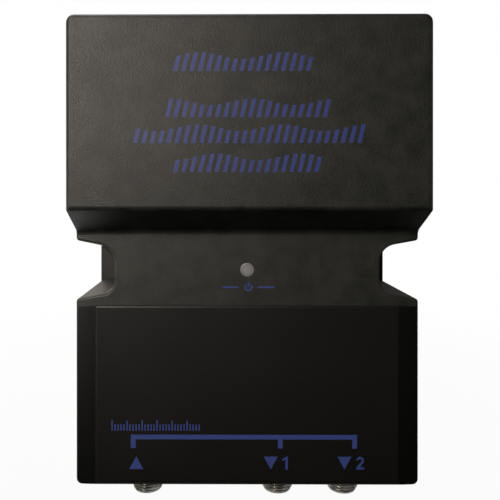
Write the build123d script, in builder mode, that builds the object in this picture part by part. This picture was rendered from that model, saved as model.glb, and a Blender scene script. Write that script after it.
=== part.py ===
from build123d import *
import math
import os

# A plug-in aerial signal amplifier. A two-part moulded case hangs on a mains socket by its pins.
# The thick upper box holds the mains supply, and the lower box a screened amplifier board with
# one input and two output coaxial sockets that point down. Finger grips cut into both sides of
# the waist let a hand pull the case off the wall.
#
# Millimetres. The origin is on the wall face, midway between the live and neutral pins.
# +X is to the right seen from the front, +Y points into the wall and +Z is up.
# Depths are measured from the wall face towards the front, so a depth d lies at Y = -d.

# Case
case_width = 92.0
case_height = 122.4
upper_depth = 43.0
lower_depth = 33.0
upper_face_height = 49.0
step_run = 5.3
pin_line_drop = 45.0
rear_plate = 3.0
wall = 2.2
draft_angle = 0.4
top_corner_radius = 2.4
bottom_corner_radius = 1.7
inner_corner_radius = 1.2
upper_edge_radius = 1.5
lower_edge_radius = 0.6
step_foot_radius = 1.8
strip_width = 5.4
strip_drop = 0.45

# Finger grips, measured on the lower face
grip_below_foot = 2.3
grip_mouth = 16.1
grip_depth = 10.7
grip_slant_angle = 10.2
grip_draft_angle = 4.3
grip_top_radius = 5.0
grip_bottom_radius = 3.8
grip_mouth_radius = 0.9

# Mains pins
pin_spacing = 22.2
earth_rise = 22.2
pin_section = (6.35, 4.0)
pin_reach = 17.7
earth_section = (4.0, 8.0)
earth_reach = 22.7
sleeve_length = 9.2
sleeve_skin = 0.5

# Coaxial sockets, with places as shares of half the case width
socket_place_shares = (-0.638, 0.226, 0.659)
socket_axis_depth = 12.0
thread_diameter = 9.4
socket_reach = 10.9

# Boards and what fastens them
board_thickness = 1.6
amplifier_board_depth = 4.4
supply_board_depth = 11.0
post_diameter = 5.0
boss_diameter = 6.5
board_gap = 0.75

# Clearances
overrun = 1.0
slide_gap = 0.1
screw_gap = 0.02
lip_gap = 0.25

# Levels and half widths that several pieces share
top_z = pin_line_drop
bottom_z = top_z - case_height
middle_z = (top_z + bottom_z) / 2
step_top_z = top_z - upper_face_height
step_foot_z = step_top_z - step_run
grip_top_z = step_foot_z - grip_below_foot
grip_bottom_z = grip_top_z - grip_mouth
grip_middle_z = (grip_top_z + grip_bottom_z) / 2
half_width = case_width / 2
inner_half_width = half_width - wall
upper_inside = upper_depth - wall
lower_inside = lower_depth - wall
socket_places = [share * half_width for share in socket_place_shares]


def at_depth(depth):
    """The plane parallel to the wall at this depth. Its X is the case's X and its Y is up."""
    return Plane.XZ.offset(depth)


# Case form, shared by both covers

# The slope between the two front faces. Its normal points forwards and down.
slope_plane = Plane(
    origin=(0, -lower_depth, step_foot_z),
    z_dir=(0, -step_run, lower_depth - upper_depth),
)


def case_outline(inset):
    """The case seen from the front, drawn on the active sketch, shrunk by the inset."""
    with Locations((0, middle_z)):
        Rectangle(case_width - 2 * inset, case_height - 2 * inset)
    fillet(vertices().group_by(Axis.Y)[-1], max(top_corner_radius - inset, inner_corner_radius))
    fillet(vertices().group_by(Axis.Y)[0], max(bottom_corner_radius - inset, inner_corner_radius))


def step_cutter(inset):
    """What is missing in front of the lower box, with both side strips curving back."""
    face = lower_depth - inset
    flat = half_width - strip_width
    strip_radius = (strip_width**2 + strip_drop**2) / (2 * strip_drop)
    sweep = math.degrees(math.asin((strip_width + overrun) / strip_radius))
    with BuildPart() as cutter:
        with BuildSketch(Plane.XY.offset(bottom_z - overrun)):
            with BuildLine():
                Line((-flat, -face), (flat, -face))
                right = CenterArc((flat, strip_radius - face), strip_radius, 270, sweep)
                left = CenterArc((-flat, strip_radius - face), strip_radius, 270, -sweep)
                far = -(upper_depth + overrun)
                Polyline(right @ 1, ((right @ 1).X, far), ((left @ 1).X, far), left @ 1)
            make_face()
        extrude(amount=case_height)
        split(bisect_by=slope_plane.offset(-inset), keep=Keep.TOP)
        slope = cutter.faces().sort_by(Axis(slope_plane.origin, slope_plane.z_dir))[0]
        foot = slope.edges().filter_by_position(Axis.Y, -face - overrun / 2, 0)
        foot = foot.filter_by(lambda edge: edge.bounding_box().size.X > overrun)
        fillet(foot, step_foot_radius + inset)
    return cutter.part


def grip_cutter(side, growth):
    """One finger grip, narrowing towards the rear. Growth leaves room for its wall."""
    slant = math.tan(math.radians(grip_slant_angle))
    inner = half_width - grip_depth
    outer = half_width + grip_depth
    plane = Plane(origin=(0, -lower_depth - overrun, 0), x_dir=(-1, 0, 0), z_dir=(0, 1, 0))
    rise_in = grip_depth * slant
    rise_out = (outer - half_width) * slant
    with BuildPart() as cutter:
        with BuildSketch(plane):
            with BuildLine():
                Polyline(
                    (-side * outer, grip_bottom_z - rise_out),
                    (-side * inner, grip_bottom_z + rise_in),
                    (-side * inner, grip_top_z - rise_in),
                    (-side * outer, grip_top_z + rise_out),
                    close=True,
                )
            make_face()
            inside = vertices().filter_by_position(Axis.X, -inner - overrun, inner + overrun)
            fillet(inside.sort_by(Axis.Y)[-1], grip_top_radius)
            inside = vertices().filter_by_position(Axis.X, -inner - overrun, inner + overrun)
            fillet(inside.sort_by(Axis.Y)[0], grip_bottom_radius)
            if growth > 0:
                offset(amount=growth)
        extrude(amount=lower_depth + overrun - rear_plate, taper=grip_draft_angle)
    return cutter.part


def case_form(inset):
    """The front cover as a solid block, or with an inset the hollow inside it."""
    with BuildPart() as form:
        with BuildSketch(at_depth(rear_plate)):
            case_outline(inset)
        extrude(amount=upper_depth - inset - rear_plate, taper=draft_angle)
        add(step_cutter(inset), mode=Mode.SUBTRACT)
        add(grip_cutter(-1, inset), mode=Mode.SUBTRACT)
        add(grip_cutter(1, inset), mode=Mode.SUBTRACT)
    return form


def open_rear(form):
    """The flat rear end of a case form."""
    return form.faces().sort_by(Axis.Y)[-1]


# Screws that hold the covers together and the boards to their posts

boss_radius = boss_diameter / 2
boss_wall_gap = 0.5
boss_x = inner_half_width - boss_wall_gap - boss_radius
upper_boss_drop = 6.5
lower_boss_rise = 20.0
boss_split_depth = 8.0
cover_screw_diameter = 2.9
cover_screw_head = (5.4, 2.0)
cover_screw_length = 14.0
head_recess = 0.6
head_clearance = 0.4
boss_places = [
    (side * boss_x, level)
    for side in (-1, 1)
    for level in (top_z - upper_boss_drop, bottom_z + lower_boss_rise)
]
shank_clearance = 0.3
pilot_overrun = 2.0


# Front cover

lens_diameter = 3.6
lens_gap = 0.05
web_thickness = 1.2
web_reach = 14.0
collar_step = 0.7
collar_diameter = thread_diameter + 2 * collar_step
socket_hole_diameter = collar_diameter + 2 * slide_gap
smooth_angle = 8.0


def mouth_edges(form):
    """The long edges where the grips break out through the sides."""
    beside = form.edges().filter_by_position(Axis.Z, grip_bottom_z, grip_top_z)
    beside = beside.filter_by(lambda edge: abs(edge.center().X) > half_width - overrun)
    return beside.filter_by(lambda edge: edge.bounding_box().size.Y > lower_depth / 2)


def sharp_edges(form, rear, front):
    """The edges between two depths where two faces meet at an angle."""
    found = ShapeList()
    for edge in form.edges().filter_by_position(Axis.Y, -front, -rear):
        beside = [face for face in form.faces() if any(edge.is_same(e) for e in face.edges())]
        middle = edge @ 0.5
        if beside[0].normal_at(middle).get_angle(beside[1].normal_at(middle)) > smooth_angle:
            found.append(edge)
    return found


with BuildPart() as front_cover:
    add(case_form(0).part)
    # The upper face has a soft edge all round, and the lower box and its grips a finer one.
    upper_face = faces().sort_by(Axis.Y)[0]
    fillet(upper_face.edges(), upper_edge_radius)
    fillet(mouth_edges(front_cover), grip_mouth_radius)
    rim = sharp_edges(front_cover, lower_depth - 2 * strip_drop, upper_depth - upper_edge_radius)
    fillet(rim, lower_edge_radius)
    # The hollow keeps the wall's thickness behind every face.
    hollow = case_form(wall)
    add(hollow.part, mode=Mode.SUBTRACT)
    # Screw bosses stand on the inside of the front walls and meet those of the rear cover.
    for x, z in boss_places:
        inside = upper_inside if z > step_top_z else lower_inside
        with BuildSketch(at_depth(boss_split_depth)):
            with Locations((x, z)):
                Circle(boss_radius)
        extrude(amount=inside - boss_split_depth + slide_gap)
        # A web ties each boss to the side wall.
        with BuildSketch(at_depth(inside - web_reach)):
            with Locations((math.copysign(boss_x + boss_radius, x), z)):
                Rectangle(boss_radius, web_thickness)
        extrude(amount=web_reach + slide_gap)
        with BuildSketch(at_depth(boss_split_depth)):
            with Locations((x, z)):
                Circle(cover_screw_diameter / 2 + screw_gap)
        extrude(amount=cover_screw_length + pilot_overrun, mode=Mode.SUBTRACT)
    # The lens shows through the lower face, level with the grips.
    with BuildSketch(at_depth(lower_inside - overrun)):
        with Locations((0, grip_middle_z)):
            Circle(lens_diameter / 2 + lens_gap)
    extrude(amount=wall + 2 * overrun, mode=Mode.SUBTRACT)
    # The sockets leave through the floor.
    with BuildSketch(Plane.XY.offset(bottom_z - overrun)):
        with Locations(*[(x, -socket_axis_depth) for x in socket_places]):
            Circle(socket_hole_diameter / 2)
    extrude(amount=wall + 2 * overrun, mode=Mode.SUBTRACT)


# Rear cover

lip_thickness = 1.4
lip_height = 2.5
wall_edge_radius = 0.8
carrier_height = 5.0
carrier_rim = 4.0
live_place = (pin_spacing / 2, 0)
neutral_place = (-pin_spacing / 2, 0)
earth_place = (0, earth_rise)


# Mains pins

pin_tip_chamfer = 1.0
shoulder_depth = 5.0
shoulder_thickness = 1.5
shoulder_rim = 1.0
tail_diameter = 2.0
tail_hole_gap = 0.15
tail_stand = 1.0
pin_waist = (pin_section[0] - 2 * sleeve_skin, pin_section[1] - 2 * sleeve_skin)


def mains_pin(place, section, waist, reach, sleeve):
    """A flat pin: full section past its sleeve, a waist through it and a moulded-in shoulder."""
    with BuildPart() as pin:
        with BuildSketch(at_depth(-sleeve)):
            with Locations(place):
                Rectangle(*section)
        extrude(amount=sleeve - reach)
        chamfer(faces().sort_by(Axis.Y)[-1].edges(), pin_tip_chamfer)
        with BuildSketch(at_depth(-sleeve)):
            with Locations(place):
                Rectangle(*waist)
        extrude(amount=sleeve + shoulder_depth)
        with BuildSketch(at_depth(shoulder_depth)):
            with Locations(place):
                Rectangle(section[0] + 2 * shoulder_rim, section[1] + 2 * shoulder_rim)
        extrude(amount=shoulder_thickness)
    return pin


def solder_tail(place):
    """The round tail that carries a live pin through the supply board."""
    start = shoulder_depth + shoulder_thickness
    with BuildPart() as tail:
        with BuildSketch(at_depth(start)):
            with Locations(place):
                Circle(tail_diameter / 2)
        extrude(amount=supply_board_depth + board_thickness + tail_stand - start)
    return tail


def pin_sleeve(place):
    """The insulating skin round the root of a mains pin, from the rear cover outwards."""
    with BuildPart() as sleeve:
        with BuildSketch(at_depth(-sleeve_length)):
            with Locations(place):
                Rectangle(*pin_section)
                Rectangle(*pin_waist, mode=Mode.SUBTRACT)
        extrude(amount=sleeve_length + rear_plate / 2)
    return sleeve


with BuildPart() as live_pin:
    add(mains_pin(live_place, pin_section, pin_waist, pin_reach, sleeve_length).part)
    add(solder_tail(live_place).part)

with BuildPart() as neutral_pin:
    add(mains_pin(neutral_place, pin_section, pin_waist, pin_reach, sleeve_length).part)
    add(solder_tail(neutral_place).part)

with BuildPart() as earth_pin:
    add(mains_pin(earth_place, earth_section, earth_section, earth_reach, sleeve_length).part)

live_sleeve = pin_sleeve(live_place)
neutral_sleeve = pin_sleeve(neutral_place)


# Places of the board posts

supply_half_width = boss_x - boss_radius - board_gap
supply_bottom_z = step_foot_z
supply_top_z = top_z - wall - board_gap - lip_gap - lip_thickness
post_inset = 4.0
amplifier_half_width = supply_half_width
amplifier_neck_half = half_width - grip_depth - wall - board_gap
amplifier_bottom_z = bottom_z + wall + lip_gap + lip_thickness + board_gap
amplifier_waist_z = grip_bottom_z - wall - board_gap
amplifier_top_z = step_foot_z - post_inset
lower_post_rise = 17.0
supply_posts = [
    (side * (supply_half_width - post_inset), level)
    for side in (-1, 1)
    for level in (supply_bottom_z + post_inset, supply_top_z - post_inset - boss_diameter)
]
amplifier_posts = [
    (side * (amplifier_half_width - post_inset), level)
    for side in (-1, 1)
    for level in (bottom_z + lower_post_rise, amplifier_waist_z - post_inset)
]
board_screw_diameter = 2.0
board_screw_head = (3.8, 1.2)
board_screw_grip = 3.4


with BuildPart() as rear_cover:
    with BuildSketch(at_depth(0)):
        case_outline(0)
    extrude(amount=rear_plate)
    chamfer(faces().sort_by(Axis.Y)[-1].edges(), wall_edge_radius)
    # The lip runs just inside the front cover's walls and round both grips.
    outer_lip = open_rear(case_form(wall + lip_gap))
    inner_lip = open_rear(case_form(wall + lip_gap + lip_thickness))
    extrude(to_extrude=outer_lip, amount=lip_height, dir=(0, -1, 0))
    extrude(to_extrude=inner_lip, amount=lip_height, dir=(0, -1, 0), mode=Mode.SUBTRACT)
    # Raised carriers hold the shoulders of the pins.
    with BuildSketch(at_depth(rear_plate)):
        RectangleRounded(
            pin_spacing + pin_section[0] + 2 * carrier_rim,
            pin_section[1] + 2 * carrier_rim,
            inner_corner_radius,
        )
        with Locations(earth_place):
            RectangleRounded(
                earth_section[0] + 2 * carrier_rim,
                earth_section[1] + 2 * carrier_rim,
                inner_corner_radius,
            )
    extrude(amount=carrier_height)
    # Bosses for the cover screws, and posts for the boards.
    with BuildSketch(at_depth(rear_plate)):
        with Locations(*boss_places):
            Circle(boss_radius)
    extrude(amount=boss_split_depth - rear_plate)
    for posts, depth in ((supply_posts, supply_board_depth), (amplifier_posts, amplifier_board_depth)):
        with BuildSketch(at_depth(rear_plate)):
            with Locations(*posts):
                Circle(post_diameter / 2)
        extrude(amount=depth - rear_plate)
        with BuildSketch(at_depth(depth)):
            with Locations(*posts):
                Circle(board_screw_diameter / 2 + screw_gap)
        extrude(amount=-board_screw_grip - screw_gap, mode=Mode.SUBTRACT)
    # Screw holes with sunk heads, entered from the wall side.
    with BuildSketch(at_depth(-overrun)):
        with Locations(*boss_places):
            Circle(cover_screw_head[0] / 2 + head_clearance)
    extrude(amount=overrun + head_recess + cover_screw_head[1], mode=Mode.SUBTRACT)
    with BuildSketch(at_depth(-overrun)):
        with Locations(*boss_places):
            Circle(cover_screw_diameter / 2 + shank_clearance)
    extrude(amount=overrun + boss_split_depth + overrun, mode=Mode.SUBTRACT)
    # The pins and sleeves are moulded in, so their seats have exactly their form.
    for piece in (live_pin, neutral_pin, earth_pin, live_sleeve, neutral_sleeve):
        add(piece.part, mode=Mode.SUBTRACT)


# Fasteners


def screw(place, seat_depth, diameter, head, length, drive_outwards):
    """A pan-head self-tapping screw along Y with a cross recess. Its head sits on a depth."""
    way = 1 if drive_outwards else -1
    with BuildPart() as body:
        with BuildSketch(at_depth(seat_depth)):
            with Locations(place):
                Circle(diameter / 2)
        extrude(amount=way * length)
        tip = faces().filter_by(Axis.Y).sort_by(Axis.Y)[0 if drive_outwards else -1]
        chamfer(tip.edges(), diameter / 4)
        with BuildSketch(at_depth(seat_depth)):
            with Locations(place):
                Circle(head[0] / 2)
        extrude(amount=-way * head[1])
        crown = faces().filter_by(Axis.Y).sort_by(Axis.Y)[-1 if drive_outwards else 0]
        chamfer(crown.edges(), head[1] / 3)
        with BuildSketch(at_depth(seat_depth - way * head[1])):
            with Locations(place):
                Rectangle(head[0] / 2, head[0] / 8)
                Rectangle(head[0] / 8, head[0] / 2)
        extrude(amount=way * head[1] / 2, mode=Mode.SUBTRACT)
    return body


with BuildPart() as cover_screws:
    for place in boss_places:
        seat = head_recess + cover_screw_head[1]
        add(screw(place, seat, cover_screw_diameter, cover_screw_head, cover_screw_length, True).part)

with BuildPart() as board_screws:
    for posts, depth in ((supply_posts, supply_board_depth), (amplifier_posts, amplifier_board_depth)):
        for place in posts:
            seat = depth + board_thickness
            length = board_thickness + board_screw_grip - screw_gap
            add(screw(place, seat, board_screw_diameter, board_screw_head, length, False).part)


# Label panel, a thin stiff plate stuck to the lower face

panel_thickness = 0.4
panel_below_grip = 1.5
panel_margin = 0.9
panel_width = case_width - 2 * strip_width
panel_edge_chamfer = 0.3

with BuildPart() as label_panel:
    panel_top = grip_bottom_z - panel_below_grip
    panel_bottom = bottom_z + panel_margin
    with BuildSketch(at_depth(lower_depth)):
        with Locations((0, (panel_top + panel_bottom) / 2)):
            Rectangle(panel_width, panel_top - panel_bottom)
    extrude(amount=panel_thickness)
    chamfer(faces().sort_by(Axis.Y)[0].edges(), panel_edge_chamfer)


# Indicator: a milky lens in the front wall with a lamp behind it on a spacer

lens_proud = 0.35
lens_flange = (6.0, 1.0)
lens_rounding = 0.25
lamp_gap = 0.3
lamp_diameter = 3.0
lamp_base_diameter = 3.8
lamp_base = 1.0
lamp_length = 5.3
lead_width = 0.5
lead_spacing = 2.54
spacer_diameter = 5.0
spacer_slot = (3.4, 0.9)

with BuildPart() as indicator_lens:
    with BuildSketch(at_depth(lower_inside)):
        with Locations((0, grip_middle_z)):
            Circle(lens_diameter / 2)
    extrude(amount=wall + lens_proud)
    fillet(faces().sort_by(Axis.Y)[0].edges(), lens_rounding)
    with BuildSketch(at_depth(lower_inside)):
        with Locations((0, grip_middle_z)):
            Circle(lens_flange[0] / 2)
    extrude(amount=-lens_flange[1])

lamp_tip_depth = lower_inside - lens_flange[1] - lamp_gap
lamp_seat_depth = lamp_tip_depth - lamp_length
amplifier_top_depth = amplifier_board_depth + board_thickness

with BuildPart() as indicator_lamp:
    with BuildSketch(at_depth(lamp_seat_depth)):
        with Locations((0, grip_middle_z)):
            Circle(lamp_base_diameter / 2)
    extrude(amount=lamp_base)
    with BuildSketch(at_depth(lamp_seat_depth)):
        with Locations((0, grip_middle_z)):
            Circle(lamp_diameter / 2)
    extrude(amount=lamp_length - lamp_diameter / 2)
    with Locations((0, lamp_diameter / 2 - lamp_tip_depth, grip_middle_z)):
        Sphere(lamp_diameter / 2)
    # Two leads run down through the spacer and the board.
    with BuildSketch(at_depth(lamp_seat_depth)):
        with Locations((-lead_spacing / 2, grip_middle_z), (lead_spacing / 2, grip_middle_z)):
            Rectangle(lead_width, lead_width)
    extrude(amount=amplifier_board_depth - tail_stand / 2 - lamp_seat_depth)

with BuildPart() as lamp_spacer:
    with BuildSketch(at_depth(amplifier_top_depth)):
        with Locations((0, grip_middle_z)):
            Circle(spacer_diameter / 2)
            Rectangle(*spacer_slot, mode=Mode.SUBTRACT)
    extrude(amount=lamp_seat_depth - amplifier_top_depth)


# Coaxial sockets, each a plated body with an insulator and a sprung contact

body_step = 0.8
body_width = thread_diameter + 2 * body_step
body_height = 11.0
mouth_chamfer = 0.5
barrel_wall = 1.2
bore_diameter = thread_diameter - 2 * barrel_wall
insulator_recess = 0.5
insulator_length = 12.0
contact_hole_diameter = 1.3
contact_diameter = 2.4
contact_start = 2.5
contact_tail_diameter = 1.2
channel_diameter = 3.0
body_corner_radius = 0.8
mouth_z = bottom_z - socket_reach
body_depth = 2 * (socket_axis_depth - amplifier_top_depth)
# The floor inside rises towards the front by the draft, and the bodies stand clear of it.
floor_rise = (socket_axis_depth + body_depth / 2 - rear_plate) * math.tan(math.radians(draft_angle))
body_bottom_z = bottom_z + wall + floor_rise
body_top_z = body_bottom_z + body_height
tail_z = body_top_z - body_height / 3


def socket_body(x):
    """The threaded barrel below the floor, a collar through it and the square body above."""
    with BuildPart() as body:
        with BuildSketch(Plane.XY.offset(mouth_z)):
            with Locations((x, -socket_axis_depth)):
                Circle(thread_diameter / 2)
        extrude(amount=socket_reach)
        chamfer(faces().sort_by(Axis.Z)[0].edges(), mouth_chamfer)
        with BuildSketch(Plane.XY.offset(bottom_z)):
            with Locations((x, -socket_axis_depth)):
                Circle(collar_diameter / 2)
        extrude(amount=body_bottom_z - bottom_z)
        with BuildSketch(Plane.XY.offset(body_bottom_z)):
            with Locations((x, -socket_axis_depth)):
                RectangleRounded(body_width, body_depth, body_corner_radius)
        extrude(amount=body_height)
        with BuildSketch(Plane.XY.offset(mouth_z)):
            with Locations((x, -socket_axis_depth)):
                Circle(bore_diameter / 2)
        extrude(amount=insulator_recess + insulator_length, mode=Mode.SUBTRACT)
        with BuildSketch(Plane.XY.offset(mouth_z)):
            with Locations((x, -socket_axis_depth)):
                Circle(channel_diameter / 2)
        extrude(amount=tail_z + channel_diameter / 2 - mouth_z, mode=Mode.SUBTRACT)
        with BuildSketch(at_depth(amplifier_top_depth)):
            with Locations((x, tail_z)):
                Circle(channel_diameter / 2)
        extrude(amount=socket_axis_depth - amplifier_top_depth, mode=Mode.SUBTRACT)
    return body


def socket_insulator(x):
    """The plastic core of a socket, with a small hole for the plug's wire."""
    start = mouth_z + insulator_recess
    with BuildPart() as insulator:
        with BuildSketch(Plane.XY.offset(start)):
            with Locations((x, -socket_axis_depth)):
                Circle(bore_diameter / 2)
                Circle(contact_hole_diameter / 2, mode=Mode.SUBTRACT)
        extrude(amount=insulator_length)
        with BuildSketch(Plane.XY.offset(start + contact_start)):
            with Locations((x, -socket_axis_depth)):
                Circle(contact_diameter / 2)
        extrude(amount=insulator_length, mode=Mode.SUBTRACT)
    return insulator


def socket_contact(x):
    """The sprung tube in the insulator, with a tail turned into the board."""
    start = mouth_z + insulator_recess + contact_start
    grip_length = insulator_length - contact_start
    with BuildPart() as contact:
        with BuildSketch(Plane.XY.offset(start)):
            with Locations((x, -socket_axis_depth)):
                Circle(contact_diameter / 2)
                Circle(contact_hole_diameter / 2, mode=Mode.SUBTRACT)
        extrude(amount=grip_length)
        with BuildSketch(Plane.XY.offset(start + grip_length / 2)):
            with Locations((x, -socket_axis_depth)):
                Circle(contact_tail_diameter / 2 + slide_gap)
        extrude(amount=tail_z - start - grip_length / 2)
        with BuildSketch(at_depth(amplifier_board_depth - tail_stand / 2)):
            with Locations((x, tail_z)):
                Circle(contact_tail_diameter / 2)
        extrude(amount=socket_axis_depth - amplifier_board_depth + tail_stand / 2)
    return contact


input_socket, output_socket_1, output_socket_2 = [socket_body(x) for x in socket_places]

with BuildPart() as socket_insulators:
    for x in socket_places:
        add(socket_insulator(x).part)

with BuildPart() as socket_contacts:
    for x in socket_places:
        add(socket_contact(x).part)


# Amplifier board, narrow between the grips and wide below them

with BuildPart() as amplifier_board:
    with BuildSketch(at_depth(amplifier_board_depth)):
        with BuildLine():
            Polyline(
                (-amplifier_half_width, amplifier_bottom_z),
                (amplifier_half_width, amplifier_bottom_z),
                (amplifier_half_width, amplifier_waist_z),
                (amplifier_neck_half, amplifier_waist_z),
                (amplifier_neck_half, amplifier_top_z),
                (-amplifier_neck_half, amplifier_top_z),
                (-amplifier_neck_half, amplifier_waist_z),
                (-amplifier_half_width, amplifier_waist_z),
                close=True,
            )
        make_face()
        with Locations(*amplifier_posts):
            Circle(board_screw_diameter / 2 + slide_gap, mode=Mode.SUBTRACT)
        with Locations(*[(x, tail_z) for x in socket_places]):
            Circle(contact_tail_diameter / 2 + tail_hole_gap, mode=Mode.SUBTRACT)
        with Locations((-lead_spacing / 2, grip_middle_z), (lead_spacing / 2, grip_middle_z)):
            Circle(lead_width, mode=Mode.SUBTRACT)
    extrude(amount=board_thickness)


# Screening can over the signal stage, with a snap-on lid

can_gap = 2.0
can_depth = 13.0
tinplate = 0.4
lid_skirt = 3.0
lid_gap = 0.05
can_half_width = amplifier_half_width - post_inset - board_screw_head[0] / 2 - can_gap
can_bottom_z = body_top_z + can_gap
can_top_z = grip_middle_z - spacer_diameter - can_gap
can_middle_z = (can_bottom_z + can_top_z) / 2
can_height = can_top_z - can_bottom_z
can_front_depth = amplifier_top_depth + can_depth

with BuildPart() as screening_can:
    with BuildSketch(at_depth(amplifier_top_depth)):
        with Locations((0, can_middle_z)):
            Rectangle(2 * can_half_width, can_height)
            Rectangle(2 * (can_half_width - tinplate), can_height - 2 * tinplate, mode=Mode.SUBTRACT)
            # A cross wall keeps the input stage apart from the splitter.
            Rectangle(tinplate, can_height)
    extrude(amount=can_depth)

with BuildPart() as screening_lid:
    skirt = tinplate + lid_gap
    with BuildSketch(at_depth(can_front_depth - lid_skirt)):
        with Locations((0, can_middle_z)):
            Rectangle(2 * (can_half_width + skirt), can_height + 2 * skirt)
            Rectangle(2 * (can_half_width + lid_gap), can_height + 2 * lid_gap, mode=Mode.SUBTRACT)
    extrude(amount=lid_skirt)
    with BuildSketch(at_depth(can_front_depth)):
        with Locations((0, can_middle_z)):
            Rectangle(2 * (can_half_width + skirt), can_height + 2 * skirt)
    extrude(amount=tinplate)


# Parts on the amplifier board, inside the can

chip_size = (5.0, 6.2, 1.8)
splitter_size = (7.0, 6.0, 5.0)
splitter_hole_diameter = 1.8
choke_diameter = 4.6
choke_bore = 2.2
choke_length = 5.0
choke_place_shares = (-0.8, -0.2, 0.2, 0.8)

with BuildPart() as amplifier_chip:
    with BuildSketch(at_depth(amplifier_top_depth)):
        with Locations((-can_half_width / 2, can_middle_z)):
            Rectangle(chip_size[0], chip_size[1])
    extrude(amount=chip_size[2])

with BuildPart() as splitter_core:
    with BuildSketch(at_depth(amplifier_top_depth)):
        with Locations((can_half_width / 2, can_middle_z)):
            RectangleRounded(splitter_size[0], splitter_size[1], splitter_size[1] / 4)
            with Locations((-splitter_size[0] / 4, 0), (splitter_size[0] / 4, 0)):
                Circle(splitter_hole_diameter / 2, mode=Mode.SUBTRACT)
    extrude(amount=splitter_size[2])

with BuildPart() as choke_coils:
    with BuildSketch(at_depth(amplifier_top_depth)):
        for share in choke_place_shares:
            with Locations((share * can_half_width, can_middle_z)):
                Circle(choke_diameter / 2)
                Circle(choke_bore / 2, mode=Mode.SUBTRACT)
    extrude(amount=choke_length)


# Supply board in the upper box

supply_top_depth = supply_board_depth + board_thickness
supply_middle_z = (supply_bottom_z + supply_top_z) / 2

with BuildPart() as supply_board:
    with BuildSketch(at_depth(supply_board_depth)):
        with Locations((0, supply_middle_z)):
            Rectangle(2 * supply_half_width, supply_top_z - supply_bottom_z)
        with Locations(*supply_posts):
            Circle(board_screw_diameter / 2 + slide_gap, mode=Mode.SUBTRACT)
        with Locations(live_place, neutral_place):
            Circle(tail_diameter / 2 + tail_hole_gap, mode=Mode.SUBTRACT)
    extrude(amount=board_thickness)


# Mains transformer: a stack of E and I plates round a bobbin with its winding

transformer_share = -0.42
core_width = 36.0
core_height = 30.0
core_leg = 6.0
winding_build = 4.2
bobbin_wall = 0.8
bobbin_flange = 1.0
core_gap = 0.1
transformer_top_gap = 3.0
transformer_x = transformer_share * supply_half_width
transformer_z = supply_top_z - boss_diameter - core_height / 2 - can_gap
winding_depth = upper_inside - transformer_top_gap - supply_top_depth
stack = winding_depth - 2 * (winding_build + bobbin_wall)
stack_depth = supply_top_depth + winding_build + bobbin_wall
window_width = (core_width - 4 * core_leg) / 2
window_height = core_height - 2 * core_leg
core_middle = 2 * core_leg
transformer_place = (transformer_x, transformer_z)

with BuildPart() as transformer_core:
    with BuildSketch(at_depth(stack_depth)):
        with Locations(transformer_place):
            Rectangle(core_width, core_height)
            with Locations(
                (-(core_middle + window_width) / 2, 0), ((core_middle + window_width) / 2, 0)
            ):
                Rectangle(window_width, window_height, mode=Mode.SUBTRACT)
    extrude(amount=stack)

with BuildPart() as transformer_bobbin:
    # The tube round the middle leg, standing between its two flanges.
    tube_width = core_middle + 2 * (core_gap + bobbin_wall)
    tube_depth = stack + 2 * (core_gap + bobbin_wall)
    flange_width = core_middle + 2 * window_width - 2 * core_gap
    tube_plane = Plane.XY.offset(transformer_z - window_height / 2 + core_gap)
    tube_middle = (transformer_x, -(stack_depth + stack / 2))
    tube_height = window_height - 2 * core_gap
    with BuildSketch(tube_plane):
        with Locations(tube_middle):
            Rectangle(tube_width, tube_depth)
    extrude(amount=tube_height)
    for level in (0, tube_height - bobbin_flange):
        with BuildSketch(tube_plane.offset(level)):
            with Locations(tube_middle):
                Rectangle(flange_width, winding_depth)
        extrude(amount=bobbin_flange)
    with BuildSketch(tube_plane):
        with Locations(tube_middle):
            Rectangle(core_middle + 2 * core_gap, stack + 2 * core_gap)
    extrude(amount=tube_height, mode=Mode.SUBTRACT)

with BuildPart() as transformer_windings:
    winding_width = flange_width - 2 * slide_gap
    winding_span = tube_height - 2 * bobbin_flange - 2 * slide_gap
    with BuildSketch(tube_plane.offset(bobbin_flange + slide_gap)):
        with Locations(tube_middle):
            RectangleRounded(winding_width, winding_depth - 2 * bobbin_wall, core_leg / 2)
            Rectangle(tube_width, tube_depth, mode=Mode.SUBTRACT)
    extrude(amount=winding_span)


# Other parts on the supply board

capacitor_diameter = 12.0
capacitor_share = 0.53
capacitor_length_share = 0.75
capacitor_rim = 0.4
rectifier_diameter = 9.0
rectifier_height = 5.5
regulator_size = (4.6, 10.2, 15.0)
regulator_share = 0.85
sink_thickness = 1.2
fuse_diameter = 4.0
fuse_length = 14.0
clip_thickness = 0.5
clip_width = 3.0
capacitor_x = capacitor_share * supply_half_width
regulator_x = regulator_share * supply_half_width
upper_row_z = transformer_z + core_height / 4
lower_row_z = transformer_z - core_height / 4

with BuildPart() as reservoir_capacitor:
    capacitor_length = capacitor_length_share * (upper_inside - supply_top_depth)
    with BuildSketch(at_depth(supply_top_depth)):
        with Locations((capacitor_x, upper_row_z)):
            Circle(capacitor_diameter / 2)
    extrude(amount=capacitor_length)
    chamfer(faces().sort_by(Axis.Y)[0].edges(), capacitor_rim)

with BuildPart() as bridge_rectifier:
    with BuildSketch(at_depth(supply_top_depth)):
        with Locations((capacitor_x, lower_row_z)):
            Circle(rectifier_diameter / 2)
    extrude(amount=rectifier_height)

with BuildPart() as voltage_regulator:
    with BuildSketch(at_depth(supply_top_depth)):
        with Locations((regulator_x, transformer_z)):
            Rectangle(regulator_size[0], regulator_size[1])
    extrude(amount=regulator_size[2])

with BuildPart() as heat_sink:
    sink_x = regulator_x + regulator_size[0] / 2 + sink_thickness / 2
    with BuildSketch(at_depth(supply_top_depth)):
        with Locations((sink_x, transformer_z)):
            Rectangle(sink_thickness, core_height - 2 * core_leg)
    extrude(amount=regulator_size[2] + core_leg)


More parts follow.
